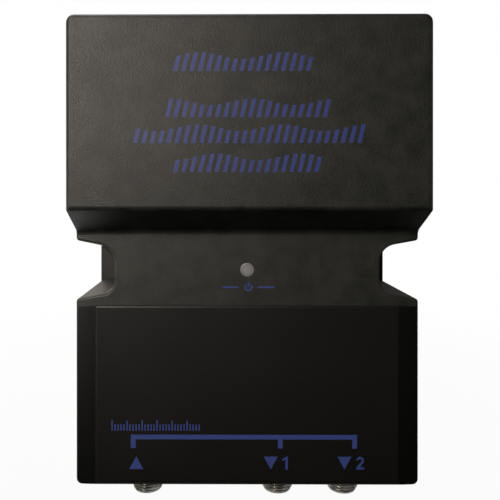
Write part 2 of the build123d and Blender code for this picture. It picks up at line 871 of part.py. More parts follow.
def along_x(x, z, depth):
    """A plane across the X axis at this X, centred on a height and a depth."""
    return Plane(origin=(x, -depth, z), x_dir=(0, 0, 1), z_dir=(1, 0, 0))


fuse_stand = 1.0
clip_radius = fuse_diameter / 2 + clip_thickness
fuse_z = supply_bottom_z + post_inset + board_screw_head[0] / 2 + clip_radius + board_gap
fuse_depth = supply_top_depth + clip_thickness + fuse_stand + fuse_diameter / 2
fuse_start_x = live_place[0] + tail_diameter

with BuildPart() as mains_fuse:
    with BuildSketch(along_x(fuse_start_x, fuse_z, fuse_depth)):
        Circle(fuse_diameter / 2)
    extrude(amount=fuse_length)

with BuildPart() as fuse_clips:
    for start in (0, fuse_length - clip_width):
        with BuildSketch(along_x(fuse_start_x + start, fuse_z, fuse_depth)):
            Circle(clip_radius)
            # The ring opens to the front, and a foot stands on the board.
            with Locations((0, fuse_diameter / 2)):
                Rectangle(fuse_diameter / 2, fuse_diameter, mode=Mode.SUBTRACT)
            with Locations((0, (supply_top_depth - fuse_depth - fuse_diameter / 2) / 2)):
                Rectangle(fuse_diameter / 2, fuse_depth - supply_top_depth - fuse_diameter / 2)
            Circle(fuse_diameter / 2, mode=Mode.SUBTRACT)
        extrude(amount=clip_width)


# Supply wires from the upper board to the lower one, a flat two-core ribbon

ribbon_width = 3.6
ribbon_thickness = 1.3
ribbon_bend_radius = 2.0
ribbon_stand = 4.0

with BuildPart() as supply_wires:
    start_z = supply_bottom_z + ribbon_thickness
    # The lower end lands midway between the board's top edge and the lamp spacer.
    end_z = (amplifier_top_z + grip_middle_z + spacer_diameter / 2) / 2
    crest_depth = supply_top_depth + ribbon_stand
    with BuildLine() as route:
        FilletPolyline(
            (0, -supply_top_depth, start_z),
            (0, -crest_depth, start_z),
            (0, -crest_depth, end_z),
            (0, -amplifier_top_depth, end_z),
            radius=ribbon_bend_radius,
        )
    with BuildSketch(at_depth(supply_top_depth)):
        with Locations((0, start_z)):
            Rectangle(ribbon_width, ribbon_thickness)
    sweep(path=route.line)


# Output

pieces = {
    "front_cover": front_cover,
    "rear_cover": rear_cover,
    "label_panel": label_panel,
    "indicator_lens": indicator_lens,
    "indicator_lamp": indicator_lamp,
    "lamp_spacer": lamp_spacer,
    "input_socket": input_socket,
    "output_socket_1": output_socket_1,
    "output_socket_2": output_socket_2,
    "socket_insulators": socket_insulators,
    "socket_contacts": socket_contacts,
    "live_pin": live_pin,
    "neutral_pin": neutral_pin,
    "earth_pin": earth_pin,
    "live_sleeve": live_sleeve,
    "neutral_sleeve": neutral_sleeve,
    "cover_screws": cover_screws,
    "board_screws": board_screws,
    "amplifier_board": amplifier_board,
    "screening_can": screening_can,
    "screening_lid": screening_lid,
    "amplifier_chip": amplifier_chip,
    "splitter_core": splitter_core,
    "choke_coils": choke_coils,
    "supply_board": supply_board,
    "transformer_core": transformer_core,
    "transformer_bobbin": transformer_bobbin,
    "transformer_windings": transformer_windings,
    "reservoir_capacitor": reservoir_capacitor,
    "bridge_rectifier": bridge_rectifier,
    "voltage_regulator": voltage_regulator,
    "heat_sink": heat_sink,
    "mains_fuse": mains_fuse,
    "fuse_clips": fuse_clips,
    "supply_wires": supply_wires,
}

os.makedirs("parts", exist_ok=True)
for name, piece in pieces.items():
    piece.part.label = name
    export_step(piece.part, f"parts/{name}.step")
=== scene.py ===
import math

import bmesh
import bpy
from mathutils import Matrix, Vector


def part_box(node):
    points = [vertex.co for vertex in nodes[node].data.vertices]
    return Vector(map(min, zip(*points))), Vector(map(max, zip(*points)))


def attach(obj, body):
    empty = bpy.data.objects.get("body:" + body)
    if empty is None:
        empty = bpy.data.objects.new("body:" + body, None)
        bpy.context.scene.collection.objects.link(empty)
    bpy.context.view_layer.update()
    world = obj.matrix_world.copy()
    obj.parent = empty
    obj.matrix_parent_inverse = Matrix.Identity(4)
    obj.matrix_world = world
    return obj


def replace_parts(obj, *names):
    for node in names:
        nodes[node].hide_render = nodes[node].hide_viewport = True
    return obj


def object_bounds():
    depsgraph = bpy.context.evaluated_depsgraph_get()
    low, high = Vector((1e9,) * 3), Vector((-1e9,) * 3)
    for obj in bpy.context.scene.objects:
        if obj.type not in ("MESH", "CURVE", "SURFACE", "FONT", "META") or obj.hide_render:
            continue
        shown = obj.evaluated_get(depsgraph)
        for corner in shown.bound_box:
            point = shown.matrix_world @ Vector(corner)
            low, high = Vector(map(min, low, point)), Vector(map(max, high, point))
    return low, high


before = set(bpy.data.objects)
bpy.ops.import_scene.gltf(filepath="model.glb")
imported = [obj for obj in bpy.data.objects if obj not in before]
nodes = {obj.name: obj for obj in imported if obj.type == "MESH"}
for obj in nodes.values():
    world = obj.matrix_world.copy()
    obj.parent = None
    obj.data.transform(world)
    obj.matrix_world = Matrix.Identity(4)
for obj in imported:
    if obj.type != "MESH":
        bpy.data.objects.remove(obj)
cad_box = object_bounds()


# Studio: a key lamp in front on the left, weak ones above, beside and low in front, and a camera
# where the photographer stood, a hand's length away. The room is dim, so the black plastic stays
# deep, and everything behind the object is white.

photo_size = 500
photo_focal = 498.5
photo_centre = (215.93, 232.47)
camera_place = (-0.007684, -0.166082, -0.009551)
camera_pitch = 0.064
camera_yaw = 0.276
camera_roll = -0.004
sensor_mm = 36.0


def linear(code):
    """An sRGB hex colour as linear red, green, blue and alpha."""
    parts = [int(code[i:i + 2], 16) / 255 for i in (1, 3, 5)]
    return tuple(c / 12.92 if c <= 0.04045 else ((c + 0.055) / 1.055) ** 2.4 for c in parts) + (1.0,)


def add(tree, kind, values=None):
    """A node with its values and links. Its kind goes without ShaderNode or GeometryNode.

    A second word in the kind is the node's operation, mode or data type. A hex value is a colour,
    a node stands for its first live output, and a number as a key for the input of that index.
    """
    kind, *words = kind.split()
    family = next(name for name in ("ShaderNode", "GeometryNode", "") if hasattr(bpy.types, name + kind))
    node = tree.nodes.new(family + kind)
    for word in words:
        names = [name for name in ("operation", "mode", "data_type") if hasattr(node, name)]
        setattr(node, names[0], word)
    for key, value in (values or {}).items():
        if isinstance(value, bpy.types.Node):
            value = next(socket for socket in value.outputs if socket.enabled)
        if isinstance(value, bpy.types.NodeSocket):
            tree.links.new(value, node.inputs[key])
        elif isinstance(key, str) and hasattr(node, key):
            setattr(node, key, value)
        else:
            node.inputs[key].default_value = linear(value) if str(value).startswith("#") else value
    return node


camera_data = bpy.data.cameras.new("camera")
camera_data.sensor_width = sensor_mm
camera_data.lens = photo_focal / photo_size * sensor_mm
camera_data.shift_x = (photo_size / 2 - photo_centre[0]) / photo_size
camera_data.shift_y = (photo_centre[1] - photo_size / 2) / photo_size
camera_data.clip_start = 0.01
camera_data.clip_end = 20.0
camera = bpy.data.objects.new("camera", camera_data)
yaw = Matrix.Rotation(math.radians(camera_yaw), 4, "Z")
pitch = Matrix.Rotation(math.radians(90 - camera_pitch), 4, "X")
roll = Matrix.Rotation(math.radians(camera_roll), 4, "Z")
camera.matrix_world = Matrix.Translation(camera_place) @ (yaw @ pitch) @ roll
bpy.context.scene.collection.objects.link(camera)
bpy.context.scene.camera = camera
bpy.context.scene.view_settings.view_transform = "Standard"


def soft_lamp(name, place, size, power, tint="#ffffff"):
    """A square area lamp of this size that faces the middle of the object."""
    data = bpy.data.lights.new(name, "AREA")
    data.size = size
    data.energy = power
    data.color = linear(tint)[:3]
    lamp = bpy.data.objects.new(name, data)
    lamp.location = place
    target = (cad_box[0] + cad_box[1]) / 2
    lamp.rotation_euler = (target - Vector(place)).to_track_quat("-Z", "Y").to_euler()
    bpy.context.scene.collection.objects.link(lamp)


soft_lamp("key_lamp", (-0.34, -0.6, 0.3), size=0.3, power=4.3, tint="#fff3e7")
soft_lamp("top_lamp", (-0.25, 0.15, 0.9), size=0.5, power=3.0)
soft_lamp("left_lamp", (-0.9, 0.25, 0.1), size=0.5, power=0.4)
soft_lamp("low_lamp", (-0.5, -0.4, -0.07), size=0.16, power=0.5)
soft_lamp("right_lamp", (0.8, -0.1, 0.2), size=0.5, power=0.3, tint="#eef4ff")


def seen_white(tree, first, second):
    """One for the camera, and for mirror and glass rays the product of two shares; and the rays."""
    ray = add(tree, "LightPath").outputs
    mirror = add(tree, "Math MAXIMUM", {0: ray["Is Glossy Ray"], 1: ray["Is Transmission Ray"]})
    both = add(tree, "Math MULTIPLY", {0: first, 1: second})
    mirrored = add(tree, "Math MULTIPLY", {0: mirror, 1: both})
    return add(tree, "Math MAXIMUM", {0: ray["Is Camera Ray"], 1: mirrored}), ray


# The room gives a dim even light. The camera sees it white, and so do mirror and glass rays that
# leave the object towards the rear. For those it dims towards the right, which keeps the right
# end of the case as dark as in the photograph.
world = bpy.data.worlds.new("studio")
bpy.context.scene.world = world
world.use_nodes = True
tree = world.node_tree
tree.nodes.clear()
way = add(tree, "SeparateXYZ", {0: add(tree, "TexCoord").outputs["Generated"]}).outputs
rear = add(tree, "MapRange", {"From Min": 0.2, "From Max": 0.7, "Value": way["Y"]})
leftwards = add(tree, "MapRange",
                {"From Min": 0.12, "From Max": -0.05, "To Min": 0.12, "Value": way["X"]})
share, ray = seen_white(tree, rear, leftwards)
dim = add(tree, "MapRange", {"To Min": 0.1, "To Max": 0.03, "Value": ray["Is Glossy Ray"]})
room = add(tree, "Background", {"Color": "#c9cdd2", "Strength": dim})
tint = add(tree, "Mix RGBA", {0: ray["Is Camera Ray"], 6: "#fff4ea", 7: "#ffffff"})
white = add(tree, "Background", {"Strength": 1.0, "Color": tint})
mixed = add(tree, "MixShader", {0: share, 1: room, 2: white})
add(tree, "OutputWorld", {"Surface": mixed})

floor_gap = 0.0002
floor_half = 4.0
floor_z = cad_box[0].z - floor_gap
mesh = bpy.data.meshes.new("floor")
corners = ((-1, -1), (1, -1), (1, 1), (-1, 1))
mesh.from_pydata([(x * floor_half, y * floor_half, floor_z) for x, y in corners], [], [(0, 1, 2, 3)])
floor = bpy.data.objects.new("floor", mesh)
bpy.context.scene.collection.objects.link(floor)


def new_material(name):
    """An empty node material, its tree and the Object coordinates of a place on the piece."""
    material = bpy.data.materials.new(name)
    material.use_nodes = True
    tree = material.node_tree
    tree.nodes.clear()
    return material, tree, add(tree, "TexCoord").outputs["Object"]


# Matt painted board. The camera sees it white, a little less so near the object, so that the
# shadow shows and no horizon. Mirror rays see it nearly white behind the object, fading out
# below it, but not right of it. Its paint is darkest close in front of the object and dimmer on
# the right, so that the lower face and the right end stay deep.
material, tree, place = new_material("matt_painted_board")
spot = add(tree, "SeparateXYZ", {0: place}).outputs
front = add(tree, "MapRange", {"From Min": -0.06, "From Max": -0.5, "Value": spot["Y"]})
grey = add(tree, "Mix RGBA", {0: front, 6: "#151515", 7: "#9c9c99"})
rear = add(tree, "MapRange", {"From Min": -0.04, "From Max": 0.12, "Value": spot["Y"]})
paint = add(tree, "Mix RGBA", {0: rear, 6: grey, 7: "#ececea"})
rightwards = add(tree, "MapRange",
                 {"From Min": 0.02, "From Max": 0.08, "To Min": 1.0, "To Max": 0.35, "Value": spot["X"]})
tint = add(tree, "VectorMath SCALE", {0: paint, "Scale": rightwards})
near = add(tree, "MapRange", {"From Min": 0.065, "From Max": 0.045, "To Max": 0.85, "Value": spot["X"]})
under = add(tree, "MapRange", {"From Min": -0.03, "From Max": 0.0, "Value": spot["Y"]})
seen = seen_white(tree, near, under)[0]
distance = add(tree, "VectorMath LENGTH", {0: place})
away = add(tree, "MapRange",
           {"interpolation_type": "SMOOTHSTEP", "From Min": 0.12, "From Max": 0.45, "To Min": 0.96,
            "Value": distance})
share = add(tree, "Math MULTIPLY", {0: seen, 1: away})
board = add(tree, "BsdfDiffuse", {"Color": tint})
glow = add(tree, "Emission", {"Color": "#ffffff", "Strength": 1.0})
mixed = add(tree, "MixShader", {0: share, 1: board, 2: glow})
add(tree, "OutputMaterial", {"Surface": mixed})
mesh.materials.append(material)


# Case: front and rear cover, two mouldings in black ABS that meet in a seam.
# The mould was spark eroded, so every outer face has an even matt grain of about a quarter of a
# millimetre. The upper face carries four rows of pad-printed bars in blue ink.

front_mm = 1000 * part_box("front_cover")[0].y
seam_mm = 1000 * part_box("front_cover")[1].y
seam_half_mm = 0.13
grain_mm = 0.28
fine_grain_mm = 0.15
mottle_mm = 4.5
cloud_mm = 22.0
fleck_mm = 1.6
fleck_rarity = 0.93
strip_inner_mm = 40.6
strip_top_mm = -29.4
strip_rear_mm = -31.0
strip_edge_mm = 0.05
beyond_mm = 200.0
gloss_spread = 0.07
bar_pitch_mm = 2.05
bar_width_mm = 1.05
bar_height_mm = 4.6
bar_lean = 0.24
bar_swing_mm = 0.828
bar_wave_step = 0.62
bar_wave_row = 1.7
bar_edge_mm = 0.04
bar_edge_share = 0.03
row_edge_share = 0.01
ink_reach_mm = 0.03
ink_edge_mm = 0.01
bar_rows_mm = ((-19.4, 17.4, 30.2), (-21.4, 21.3, 18.8), (-29.3, 28.7, 12.4), (-19.4, 19.4, 5.2))


def band(tree, value, low, high, edge):
    """One where a value lies between two limits, zero elsewhere, with an edge this wide."""
    rise = add(tree, "MapRange", {"From Min": low - edge, "From Max": low + edge, "Value": value})
    fall = add(tree, "MapRange", {"From Min": high + edge, "From Max": high - edge, "Value": value})
    return add(tree, "Math MULTIPLY", {0: rise, 1: fall})


def millimetres(tree, place):
    """The three coordinates of a place in millimetres."""
    scaled = add(tree, "VectorMath SCALE", {0: place, "Scale": 1000.0})
    return add(tree, "SeparateXYZ", {0: scaled}).outputs


def printed_bars(tree, place):
    """One where the rows of leaning bars have ink. The bars' heights follow a slow wave."""
    x, y, z = millimetres(tree, place)
    margin = (1 - bar_width_mm / bar_pitch_mm) / 2
    rows = None
    for row, (start, end, foot) in enumerate(bar_rows_mm):
        rise = add(tree, "Math SUBTRACT", {0: z, 1: foot})
        upright = add(tree, "Math MULTIPLY_ADD", {0: rise, 1: -bar_lean, 2: x})
        run = add(tree, "Math SUBTRACT", {0: upright, 1: start})
        count = add(tree, "Math DIVIDE", {0: run, 1: bar_pitch_mm})
        cell = add(tree, "Math FLOOR", {0: count})
        share = add(tree, "Math FRACT", {0: count})
        turn = add(tree, "Math MULTIPLY_ADD", {0: cell, 1: bar_wave_step, 2: bar_wave_row * row})
        wave = add(tree, "Math SINE", {0: turn})
        height = add(tree, "Math MULTIPLY_ADD", {0: wave, 1: bar_swing_mm, 2: bar_height_mm - bar_swing_mm})
        below_top = add(tree, "Math LESS_THAN", {0: rise, 1: height})
        above_foot = band(tree, rise, 0.0, 2 * bar_height_mm, bar_edge_mm)
        in_row = band(tree, count, 0.0, math.floor((end - start) / bar_pitch_mm), row_edge_share)
        ink_here = band(tree, share, margin, 1 - margin, bar_edge_share)
        for limit in (below_top, above_foot, in_row):
            ink_here = add(tree, "Math MULTIPLY", {0: ink_here, 1: limit})
        rows = add(tree, "Math MAXIMUM", {0: rows, 1: ink_here}) if rows else ink_here
    on_face = band(tree, y, front_mm - 1, front_mm + ink_reach_mm, ink_edge_mm)
    return add(tree, "Math MULTIPLY", {0: rows, 1: on_face})


def case_plastic(name, roughness, printed):
    """Spark-grained ABS between a greenish and a warm black, with a dark line at the seam."""
    material, tree, place = new_material(name)
    cloud = add(tree, "TexNoise", {"Scale": 1000 / cloud_mm, "Detail": 3.0, "Vector": place})
    grain = add(tree, "TexNoise", {"Scale": 1000 / grain_mm, "Detail": 2.0, "Vector": place})
    fine = add(tree, "TexNoise", {"Scale": 1000 / fine_grain_mm, "Detail": 1.0, "Vector": place})
    # The tone drifts in patches, and jitters a little with the grain.
    mottle = add(tree, "TexNoise", {"Scale": 1000 / mottle_mm, "Detail": 3.0, "Vector": place})
    patchy = add(tree, "MapRange", {"From Min": 0.35, "From Max": 0.65, "Value": mottle})
    drift = add(tree, "Mix RGBA", {0: patchy, 6: "#121714", 7: "#252622"})
    speckle = add(tree, "MapRange",
                  {"From Min": 0.3, "From Max": 0.7, "To Min": 0.84, "To Max": 1.16, "Value": grain})
    tone = add(tree, "VectorMath SCALE", {0: drift, "Scale": speckle})
    if printed:
        tone = add(tree, "Mix RGBA", {0: printed_bars(tree, place), 6: tone, 7: "#2c3b7b"})
    # A few dust flecks sit in the grain.
    flecks = add(tree, "TexVoronoi", {"Scale": 1000 / fleck_mm, "Vector": place}).outputs
    dust = add(tree, "MapRange", {"From Min": 0.1, "From Max": 0.05, "Value": flecks["Distance"]})
    rare = add(tree, "Math GREATER_THAN", {0: flecks["Color"], 1: fleck_rarity})
    fleck = add(tree, "Math MULTIPLY", {0: dust, 1: rare})
    tone = add(tree, "Mix RGBA", {0: fleck, 6: tone, 7: "#4e4c47"})
    x, y, z = millimetres(tree, place)
    seam = band(tree, y, seam_mm - seam_half_mm, seam_mm + seam_half_mm, seam_half_mm / 2)
    tone = add(tree, "Mix RGBA", {0: seam, 6: tone, 7: "#020202"})
    # The two strips beside the panel are smoother, with less grain, and their blackness is painted shade.
    aside = add(tree, "Math ABSOLUTE", {0: x})
    polished_shaded_strip = band(tree, aside, strip_inner_mm, 2 * strip_inner_mm, strip_edge_mm)
    for value, limit in ((z, strip_top_mm), (y, strip_rear_mm)):
        below = band(tree, value, -beyond_mm, limit, strip_edge_mm)
        polished_shaded_strip = add(tree, "Math MULTIPLY", {0: polished_shaded_strip, 1: below})
    tone = add(tree, "Mix RGBA", {0: polished_shaded_strip, 6: tone, 7: "#070807"})
    matt = add(tree, "MapRange",
               {"To Min": roughness - gloss_spread, "To Max": roughness + gloss_spread, "Value": cloud})
    rough = add(tree, "Mix FLOAT", {0: polished_shaded_strip, 2: matt, 3: 0.3})
    depth = add(tree, "MapRange", {"To Min": 1.0, "To Max": 0.15, "Value": polished_shaded_strip})
    coarse = add(tree, "Bump", {"Distance": 0.0001, "Height": grain, "Strength": depth})
    bump = add(tree, "Bump", {"Strength": 0.6, "Distance": 0.00004, "Height": fine, "Normal": coarse})
    # The seam is a fine groove, so light catches one lip of it and leaves the rest dark.
    groove = add(tree, "Bump",
                 {"invert": True, "Strength": 1.0, "Distance": 0.0004, "Height": seam, "Normal": bump})
    shader = add(tree, "BsdfPrincipled",
                 {"IOR": 1.53, "Base Color": tone, "Roughness": rough, "Normal": groove})
    add(tree, "OutputMaterial", {"Surface": shader})
    return material


def finish(material, *names):
    """Gives these CAD pieces their material."""
    for name in names:
        nodes[name].data.materials[0] = material


finish(case_plastic("abs_spark_grained_printed", roughness=0.45, printed=True), "front_cover")
finish(case_plastic("abs_spark_grained", roughness=0.47, printed=False), "rear_cover")


# Label panel: a thin plate of black polycarbonate, let in between the two side strips and stuck
# down. It was rolled smooth, so its face is finer and a little glossier than the case, and its
# cut edges are broken by a small bevel that catches the light.

panel_y, lower_y = (corner.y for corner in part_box("label_panel"))
panel_bevel_mm = 0.3
panel_cloud_mm = 30.0
panel_grain_mm = 0.22


def surface(tree, values, height, strength, depth_mm):
    """Ends a material in a shader with these values, whose fine relief follows a height."""
    bump = add(tree, "Bump", {"Strength": strength, "Distance": depth_mm / 1000, "Height": height})
    shader = add(tree, "BsdfPrincipled", {**values, "Normal": bump})
    add(tree, "OutputMaterial", {"Surface": shader})


def joined_copy(name):
    """A shape of its own from a CAD piece, with its loose triangles joined."""
    shape = bmesh.new()
    shape.from_mesh(nodes[name].data)
    bmesh.ops.remove_doubles(shape, verts=shape.verts, dist=1e-6)
    return shape


def finished_mesh(shape):
    """The mesh of a shape, which is then let go."""
    mesh = bpy.data.meshes.new("shape")
    shape.to_mesh(mesh)
    shape.free()
    return mesh


def keep_piece(name, mesh, material):
    """Puts a finished mesh in the scene as a piece of the object."""
    mesh.name = name
    mesh.materials.clear()
    mesh.materials.append(material)
    piece = bpy.data.objects.new(name, mesh)
    bpy.context.scene.collection.objects.link(piece)
    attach(piece, "root")
    return piece


material, tree, place = new_material("polycarbonate_satin_black")
cloud = add(tree, "TexNoise", {"Scale": 1000 / panel_cloud_mm, "Detail": 3.0, "Vector": place})
fine = add(tree, "TexNoise", {"Scale": 1000 / panel_grain_mm, "Detail": 1.0, "Vector": place})
tone = add(tree, "Mix RGBA", {0: cloud, 6: "#0b0c0b", 7: "#141413"})
rough = add(tree, "MapRange", {"To Min": 0.34, "To Max": 0.44, "Value": cloud})
surface(tree, {"IOR": 1.5, "Base Color": tone, "Roughness": rough}, fine, strength=0.2, depth_mm=0.02)

shape = joined_copy("label_panel")
bmesh.ops.dissolve_limit(shape, angle_limit=math.radians(1), verts=shape.verts, edges=shape.edges)
rim = [edge for edge in shape.edges if all(abs(v.co.y - panel_y) < 1e-6 for v in edge.verts)]
bmesh.ops.bevel(shape, geom=rim, offset=panel_bevel_mm / 1000, segments=3, profile=0.5, affect="EDGES")
panel = keep_piece("bevelled_panel", finished_mesh(shape), material)
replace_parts(panel, "label_panel")


# Small print: films of blue ink on the panel and under the lens, each a hair thick.
# A bracket joins the three sockets. An arrow into the case stands over the input, an arrow out
# and a number over each output, a ruled scale on the left, and a power mark under the lens.

ink_proud_mm = 0.02
ink_sunk_mm = 0.01
ink_patch_mm = 0.7
bracket_left_mm = -31.0
bracket_right_mm = 29.2
bracket_top_mm = -63.55
bracket_bottom_mm = -64.8
bracket_foot_mm = -67.15
tick_width_mm = 1.3
tick_middle_mm = 8.8
sign_foot_mm = -72.75
sign_height_mm = 3.4
arrow_width_mm = 3.7
arrow_starts_mm = (4.4, 24.0)
digit_gap_mm = 1.3
input_arrow_mm = -29.55
power_x_mm = 0.35
power_z_mm = -24.3
power_radius_mm = 1.1
power_line_mm = 0.42
power_opening = 0.7
power_steps = 24
dash_mm = (2.6, 6.9)

# Pad ink dries to a flat, dull blue that is a little denser in patches.
ink, tree, place = new_material("pad_print_ink_blue")
patch = add(tree, "TexNoise", {"Scale": 1000 / ink_patch_mm, "Detail": 2.0, "Vector": place})
tone = add(tree, "Mix RGBA", {0: patch, 6: "#303f80", 7: "#374789"})
surface(tree, {"Roughness": 0.55, "IOR": 1.48, "Base Color": tone}, patch, strength=0.15, depth_mm=0.02)


def ink_film(name, face_y, outlines):
    """A film of ink on a face that looks forwards. Each outline is a ring of X and Z in mm."""
    shape = bmesh.new()
    for outline in outlines:
        back = [shape.verts.new((x / 1000, face_y + ink_sunk_mm / 1000, z / 1000)) for x, z in outline]
        front = [shape.verts.new((x / 1000, face_y - ink_proud_mm / 1000, z / 1000)) for x, z in outline]
        shape.faces.new(front)
        shape.faces.new(back[::-1])
        for i in range(len(outline)):
            shape.faces.new((front[i - 1], back[i - 1], back[i], front[i]))
    bmesh.ops.recalc_face_normals(shape, faces=shape.faces)
    keep_piece(name, finished_mesh(shape), ink)


# The bracket runs along its top, then back over its three feet from right to left.
bracket = [(bracket_left_mm, bracket_foot_mm), (bracket_left_mm, bracket_top_mm),
           (bracket_right_mm, bracket_top_mm), (bracket_right_mm, bracket_foot_mm)]
tick_left_mm = tick_middle_mm - tick_width_mm / 2
tick_right_mm = tick_middle_mm + tick_width_mm / 2
for first, second in ((bracket_right_mm - tick_width_mm, tick_right_mm),
                      (tick_left_mm, bracket_left_mm + tick_width_mm)):
    bracket += [(first, bracket_foot_mm), (first, bracket_bottom_mm),
                (second, bracket_bottom_mm), (second, bracket_foot_mm)]
ink_film("printed_bracket", panel_y, [bracket])

sign_top_mm = sign_foot_mm + sign_height_mm
half = arrow_width_mm / 2
arrows = [[(input_arrow_mm - half, sign_foot_mm), (input_arrow_mm, sign_top_mm),
           (input_arrow_mm + half, sign_foot_mm)]]
for start in arrow_starts_mm:
    arrows.append([(start, sign_top_mm), (start + arrow_width_mm, sign_top_mm),
                   (start + half, sign_foot_mm)])
ink_film("printed_arrows", panel_y, arrows)

# The two figures, as shares of their height: a stem with a flag, and a bow on a foot.
one_shares = ((0.22, 0.0), (0.41, 0.0), (0.41, 1.0), (0.27, 1.0), (0.0, 0.82), (0.0, 0.65), (0.22, 0.78))
bow_share = 0.3
stroke_share = 0.18
bow = []
for radius, order in ((bow_share, 1), (bow_share - stroke_share, -1)):
    arc = [math.radians(a) for a in range(170, -41, -15)][::order]
    bow += [(bow_share + radius * math.cos(a), 1 - bow_share + radius * math.sin(a)) for a in arc]
bow_steps = len(bow) // 2
foot_shares = [(0.27, stroke_share), (2 * bow_share, stroke_share), (2 * bow_share, 0.0),
               (0.0, 0.0), (0.0, 0.14)]
two_shares = bow[:bow_steps] + foot_shares + bow[bow_steps:]
for number, (start, shares) in enumerate(zip(arrow_starts_mm, (one_shares, two_shares)), 1):
    left = start + arrow_width_mm + digit_gap_mm
    ink_film(f"printed_number_{number}", panel_y,
             [[(left + x * sign_height_mm, sign_foot_mm + z * sign_height_mm) for x, z in shares]])


def oblong(left, right, low, high):
    """The ring of an upright oblong."""
    return [(left, low), (right, low), (right, high), (left, high)]


# The power mark is a ring with an opening at the top and a bar in it, between two dashes.
ring = []
for radius, order in ((power_radius_mm, 1), (power_radius_mm - power_line_mm, -1)):
    sweep = 2 * math.pi - 2 * power_opening
    arc = [power_opening + sweep * i / power_steps for i in range(power_steps + 1)][::order]
    ring += [(power_x_mm + radius * math.sin(a), power_z_mm + radius * math.cos(a)) for a in arc]
line_half_mm = power_line_mm / 2
marks = [ring, oblong(power_x_mm - line_half_mm, power_x_mm + line_half_mm,
                      power_z_mm, power_z_mm + power_radius_mm + line_half_mm)]
for side in (-1, 1):
    marks.append(oblong(power_x_mm + side * dash_mm[0], power_x_mm + side * dash_mm[1],
                        power_z_mm - line_half_mm, power_z_mm + line_half_mm))
ink_film("printed_power_mark", lower_y, marks)


def node_tree(name, inputs):
    """An empty Geometry Nodes tree with a mesh going in and out, and its named inputs."""
    tree = bpy.data.node_groups.new(name, "GeometryNodeTree")
    tree.interface.new_socket("Mesh", in_out="INPUT", socket_type="NodeSocketGeometry")
    for label, kind in inputs.items():
        tree.interface.new_socket(label, in_out="INPUT", socket_type="NodeSocket" + kind)
    tree.interface.new_socket("Mesh", in_out="OUTPUT", socket_type="NodeSocketGeometry")
    return tree, tree.nodes.new("NodeGroupInput").outputs


def end_tree(tree, shape, material):
    """Ends a Geometry Nodes tree: instances made real, then the material."""
    real = add(tree, "RealizeInstances", {0: shape})
    coated = add(tree, "SetMaterial", {0: real, "Material": material})
    add(tree, "NodeGroupOutput", {0: coated})


def grown(tree, values, seed=None):
    """Runs a Geometry Nodes tree on a seed mesh with these values and gives the plain mesh."""
    holder = bpy.data.objects.new(tree.name, seed or bpy.data.meshes.new(tree.name))
    bpy.context.scene.collection.objects.link(holder)
    modifier = holder.modifiers.new("grow", "NODES")
    modifier.node_group = tree
    for item in tree.interface.items_tree:
        if item.in_out == "INPUT" and item.name in values:
            modifier[item.identifier] = values[item.name]
    graph = bpy.context.evaluated_depsgraph_get()
    mesh = bpy.data.meshes.new_from_object(holder.evaluated_get(graph))
    holder.modifiers.remove(modifier)
    bpy.data.objects.remove(holder)
    return mesh


# The ruled scale has one stroke per step, and every fifth one is taller.
scale_start_mm = -36.0
scale_foot_mm = -62.5
scale_pitch_mm = 0.8
scale_count = 30
scale_every = 5
scale_line_mm = 0.36
scale_short_mm = 1.7
scale_tall_mm = 2.7

tree, given = node_tree("ruled_scale", {
    "Start": "Vector", "Pitch": "Float", "Count": "Int", "Width": "Float", "Thickness": "Float",
    "Short": "Float", "Tall": "Float", "Every": "Int", "Ink": "Material"})
step = add(tree, "CombineXYZ", {"X": given["Pitch"]})
line = add(tree, "MeshLine",
           {"Count": given["Count"], "Start Location": given["Start"], "Offset": step})
index = add(tree, "InputIndex")
rest = add(tree, "Math MODULO", {0: index, 1: given["Every"]})
tall = add(tree, "Math LESS_THAN", {0: rest, 1: 0.5})
height = add(tree, "Mix FLOAT", {0: tall, 2: given["Short"], 3: given["Tall"]})
half = add(tree, "Math MULTIPLY", {0: height, 1: 0.5})
lift = add(tree, "CombineXYZ", {"Z": half})
raised = add(tree, "SetPosition", {0: line, "Offset": lift})
flat_size = add(tree, "CombineXYZ", {"X": given["Width"], "Y": given["Thickness"]})
size = add(tree, "VectorMath ADD", {0: flat_size, 1: (0.0, 0.0, 1.0)})
stroke = add(tree, "MeshCube", {"Size": size})
stretch = add(tree, "CombineXYZ", {"X": 1.0, "Y": 1.0, "Z": height})
strokes = add(tree, "InstanceOnPoints", {0: raised, "Instance": stroke, "Scale": stretch})
end_tree(tree, strokes, given["Ink"])
film_mm = ink_proud_mm + ink_sunk_mm
film_y = panel_y + (ink_sunk_mm - film_mm / 2) / 1000
scale = grown(tree, {
    "Start": (scale_start_mm / 1000, film_y, scale_foot_mm / 1000), "Pitch": scale_pitch_mm / 1000,
    "Count": scale_count, "Width": scale_line_mm / 1000, "Thickness": film_mm / 1000,
    "Short": scale_short_mm / 1000, "Tall": scale_tall_mm / 1000, "Every": scale_every, "Ink": ink})
keep_piece("printed_scale", scale, ink)


# Indicator lens: a milky acrylic button, moulded with a flange that stops it from behind.
# Its face is a low dome with a shallow ring in it, which shows as a darker circle.

lens_low, lens_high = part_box("indicator_lens")
lens_middle = (lens_low + lens_high) / 2
lens_radius_mm = 1.8
lens_face_mm = 1000 * lens_low.y
lens_back_mm = 1000 * lens_high.y
lens_cloud_mm = 0.9
lens_steps = 48
lens_round_mm = (0.15, 0.04)
flange_radius_mm = 500 * (lens_high.x - lens_low.x)
flange_mm = 1.0
dome_mm = 0.12
dome_radii_mm = (0.4, 0.8, 1.15)
groove_middle_mm = 1.3
groove_outer_mm = 1.45
crease = math.radians(35)

